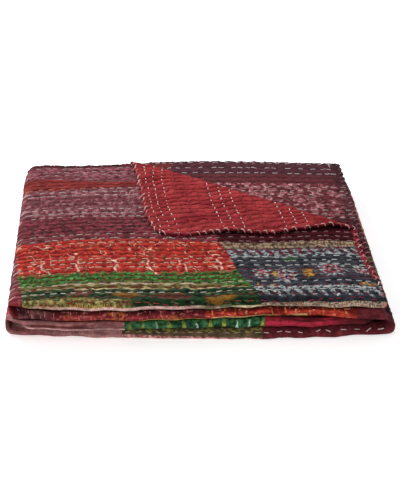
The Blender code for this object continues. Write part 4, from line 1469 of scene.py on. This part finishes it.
hem_stitches = []
for start, end, out, pitch, face_lean, back_lean, face_in, back_in, dyes in HEM_RUNS:
    places, out = along_hem(start, end, out, pitch)
    count = len(places)
    way = np.stack([-out[:, 1], out[:, 0]], axis=1)
    uneven = rng.uniform(0.8, 1.2, (count, 1))
    far = np.array([1.0, 0.86, 0.45, 0.12, 0.0, 0.12, 0.45, 0.86, 1.0]) * uneven
    far[:, :4] *= face_in
    far[:, 5:] *= back_in
    far[:, 4] = -0.0013
    lean = np.array([1.0, 0.88, 0.60, 0.30, 0.0, 0.30, 0.60, 0.88, 1.0]) * rng.uniform(0.8, 1.2, (count, 1))
    lean[:, :4] *= -face_lean
    lean[:, 5:] *= back_lean
    lean += rng.normal(0, 0.0012, (count, 1))
    u = places[:, :1] - out[:, :1] * far + way[:, :1] * lean
    v = places[:, 1:] - out[:, 1:] * far + way[:, 1:] * lean
    over = np.array([-0.4, 0.4, 0.6, 0.5, 0.0, 0.5, 0.6, 0.4, -0.4]) / 1000
    lift = np.zeros_like(u)
    lift[:, :4] = stands(u[:, :4], v[:, :4], True) + over[:4]
    lift[:, 5:] = stands(u[:, 5:], v[:, 5:], False) - over[5:]
    whipped = resting(lies_at(u, v, lift), THREAD_RESTS_AT)
    thick = np.array([0.6, 0.9, 1.0, 1.0, 1.0, 1.0, 1.0, 0.9, 0.6]) * WHIP_THREAD
    for i in range(count):
        shade = rng.uniform(0.85, 1.05)
        colour = dyes[int(rng.uniform() < 0.35)]
        hem_stitches.append((whipped[i], thick, tuple(part * shade for part in colour[:3])))
sewing.append(sewn("hem_stitches", hem_stitches, tree, thread))

# ---------------------------------------------------------------------------------------------
# The floor, the light and the camera
# ---------------------------------------------------------------------------------------------
floor_mesh = bpy.data.meshes.new("floor")
floor_mesh.from_pydata([(-6, -6, 0), (6, -6, 0), (6, 6, 0), (-6, 6, 0)], [], [(0, 1, 2, 3)])
floor = bpy.data.objects.new("floor", floor_mesh)
bpy.context.scene.collection.objects.link(floor)
pale = bpy.data.materials.new("pale_floor")
pale.use_nodes = True
pale.node_tree.nodes["Principled BSDF"].inputs["Base Color"].default_value = (0.9, 0.9, 0.9, 1)
pale.node_tree.nodes["Principled BSDF"].inputs["Roughness"].default_value = 1.0
pale.node_tree.nodes["Principled BSDF"].inputs["Emission Color"].default_value = (1, 1, 1, 1)
pale.node_tree.nodes["Principled BSDF"].inputs["Emission Strength"].default_value = 0.54
floor_mesh.materials.append(pale)

bpy.context.scene.view_settings.view_transform = "Standard"
world = bpy.data.worlds.new("studio")
world.use_nodes = True
world.node_tree.nodes["Background"].inputs["Color"].default_value = (1, 1, 1, 1)
world.node_tree.nodes["Background"].inputs["Strength"].default_value = 0.52
bpy.context.scene.world = world


def soft_light(name, place, aim, size, power):
    lamp = bpy.data.lights.new(name, "AREA")
    lamp.shape = "DISK"
    lamp.size = size
    lamp.energy = power
    holder = bpy.data.objects.new(name, lamp)
    holder.location = place
    holder.rotation_euler = (Vector(aim) - Vector(place)).to_track_quat("-Z", "Y").to_euler()
    bpy.context.scene.collection.objects.link(holder)


soft_light("key", (-1.0, 1.1, 1.2), (0, 0, 0), 0.5, 40)
soft_light("front", (0.5, -2.2, 1.8), (0, 0, 0.02), 1.6, 10)

lens = bpy.data.cameras.new("camera")
lens.sensor_width = 36.0
lens.sensor_fit = "VERTICAL"
lens.sensor_height = 36.0
lens.lens = 1848.9 * 36 / 500
camera = bpy.data.objects.new("camera", lens)
camera.location = (-0.0716 - 0.00301, -2.0193 - 0.00331, 0.83)
camera.rotation_euler = (math.radians(68), 0, math.radians(-2.35))
bpy.context.scene.collection.objects.link(camera)
bpy.context.scene.camera = camera
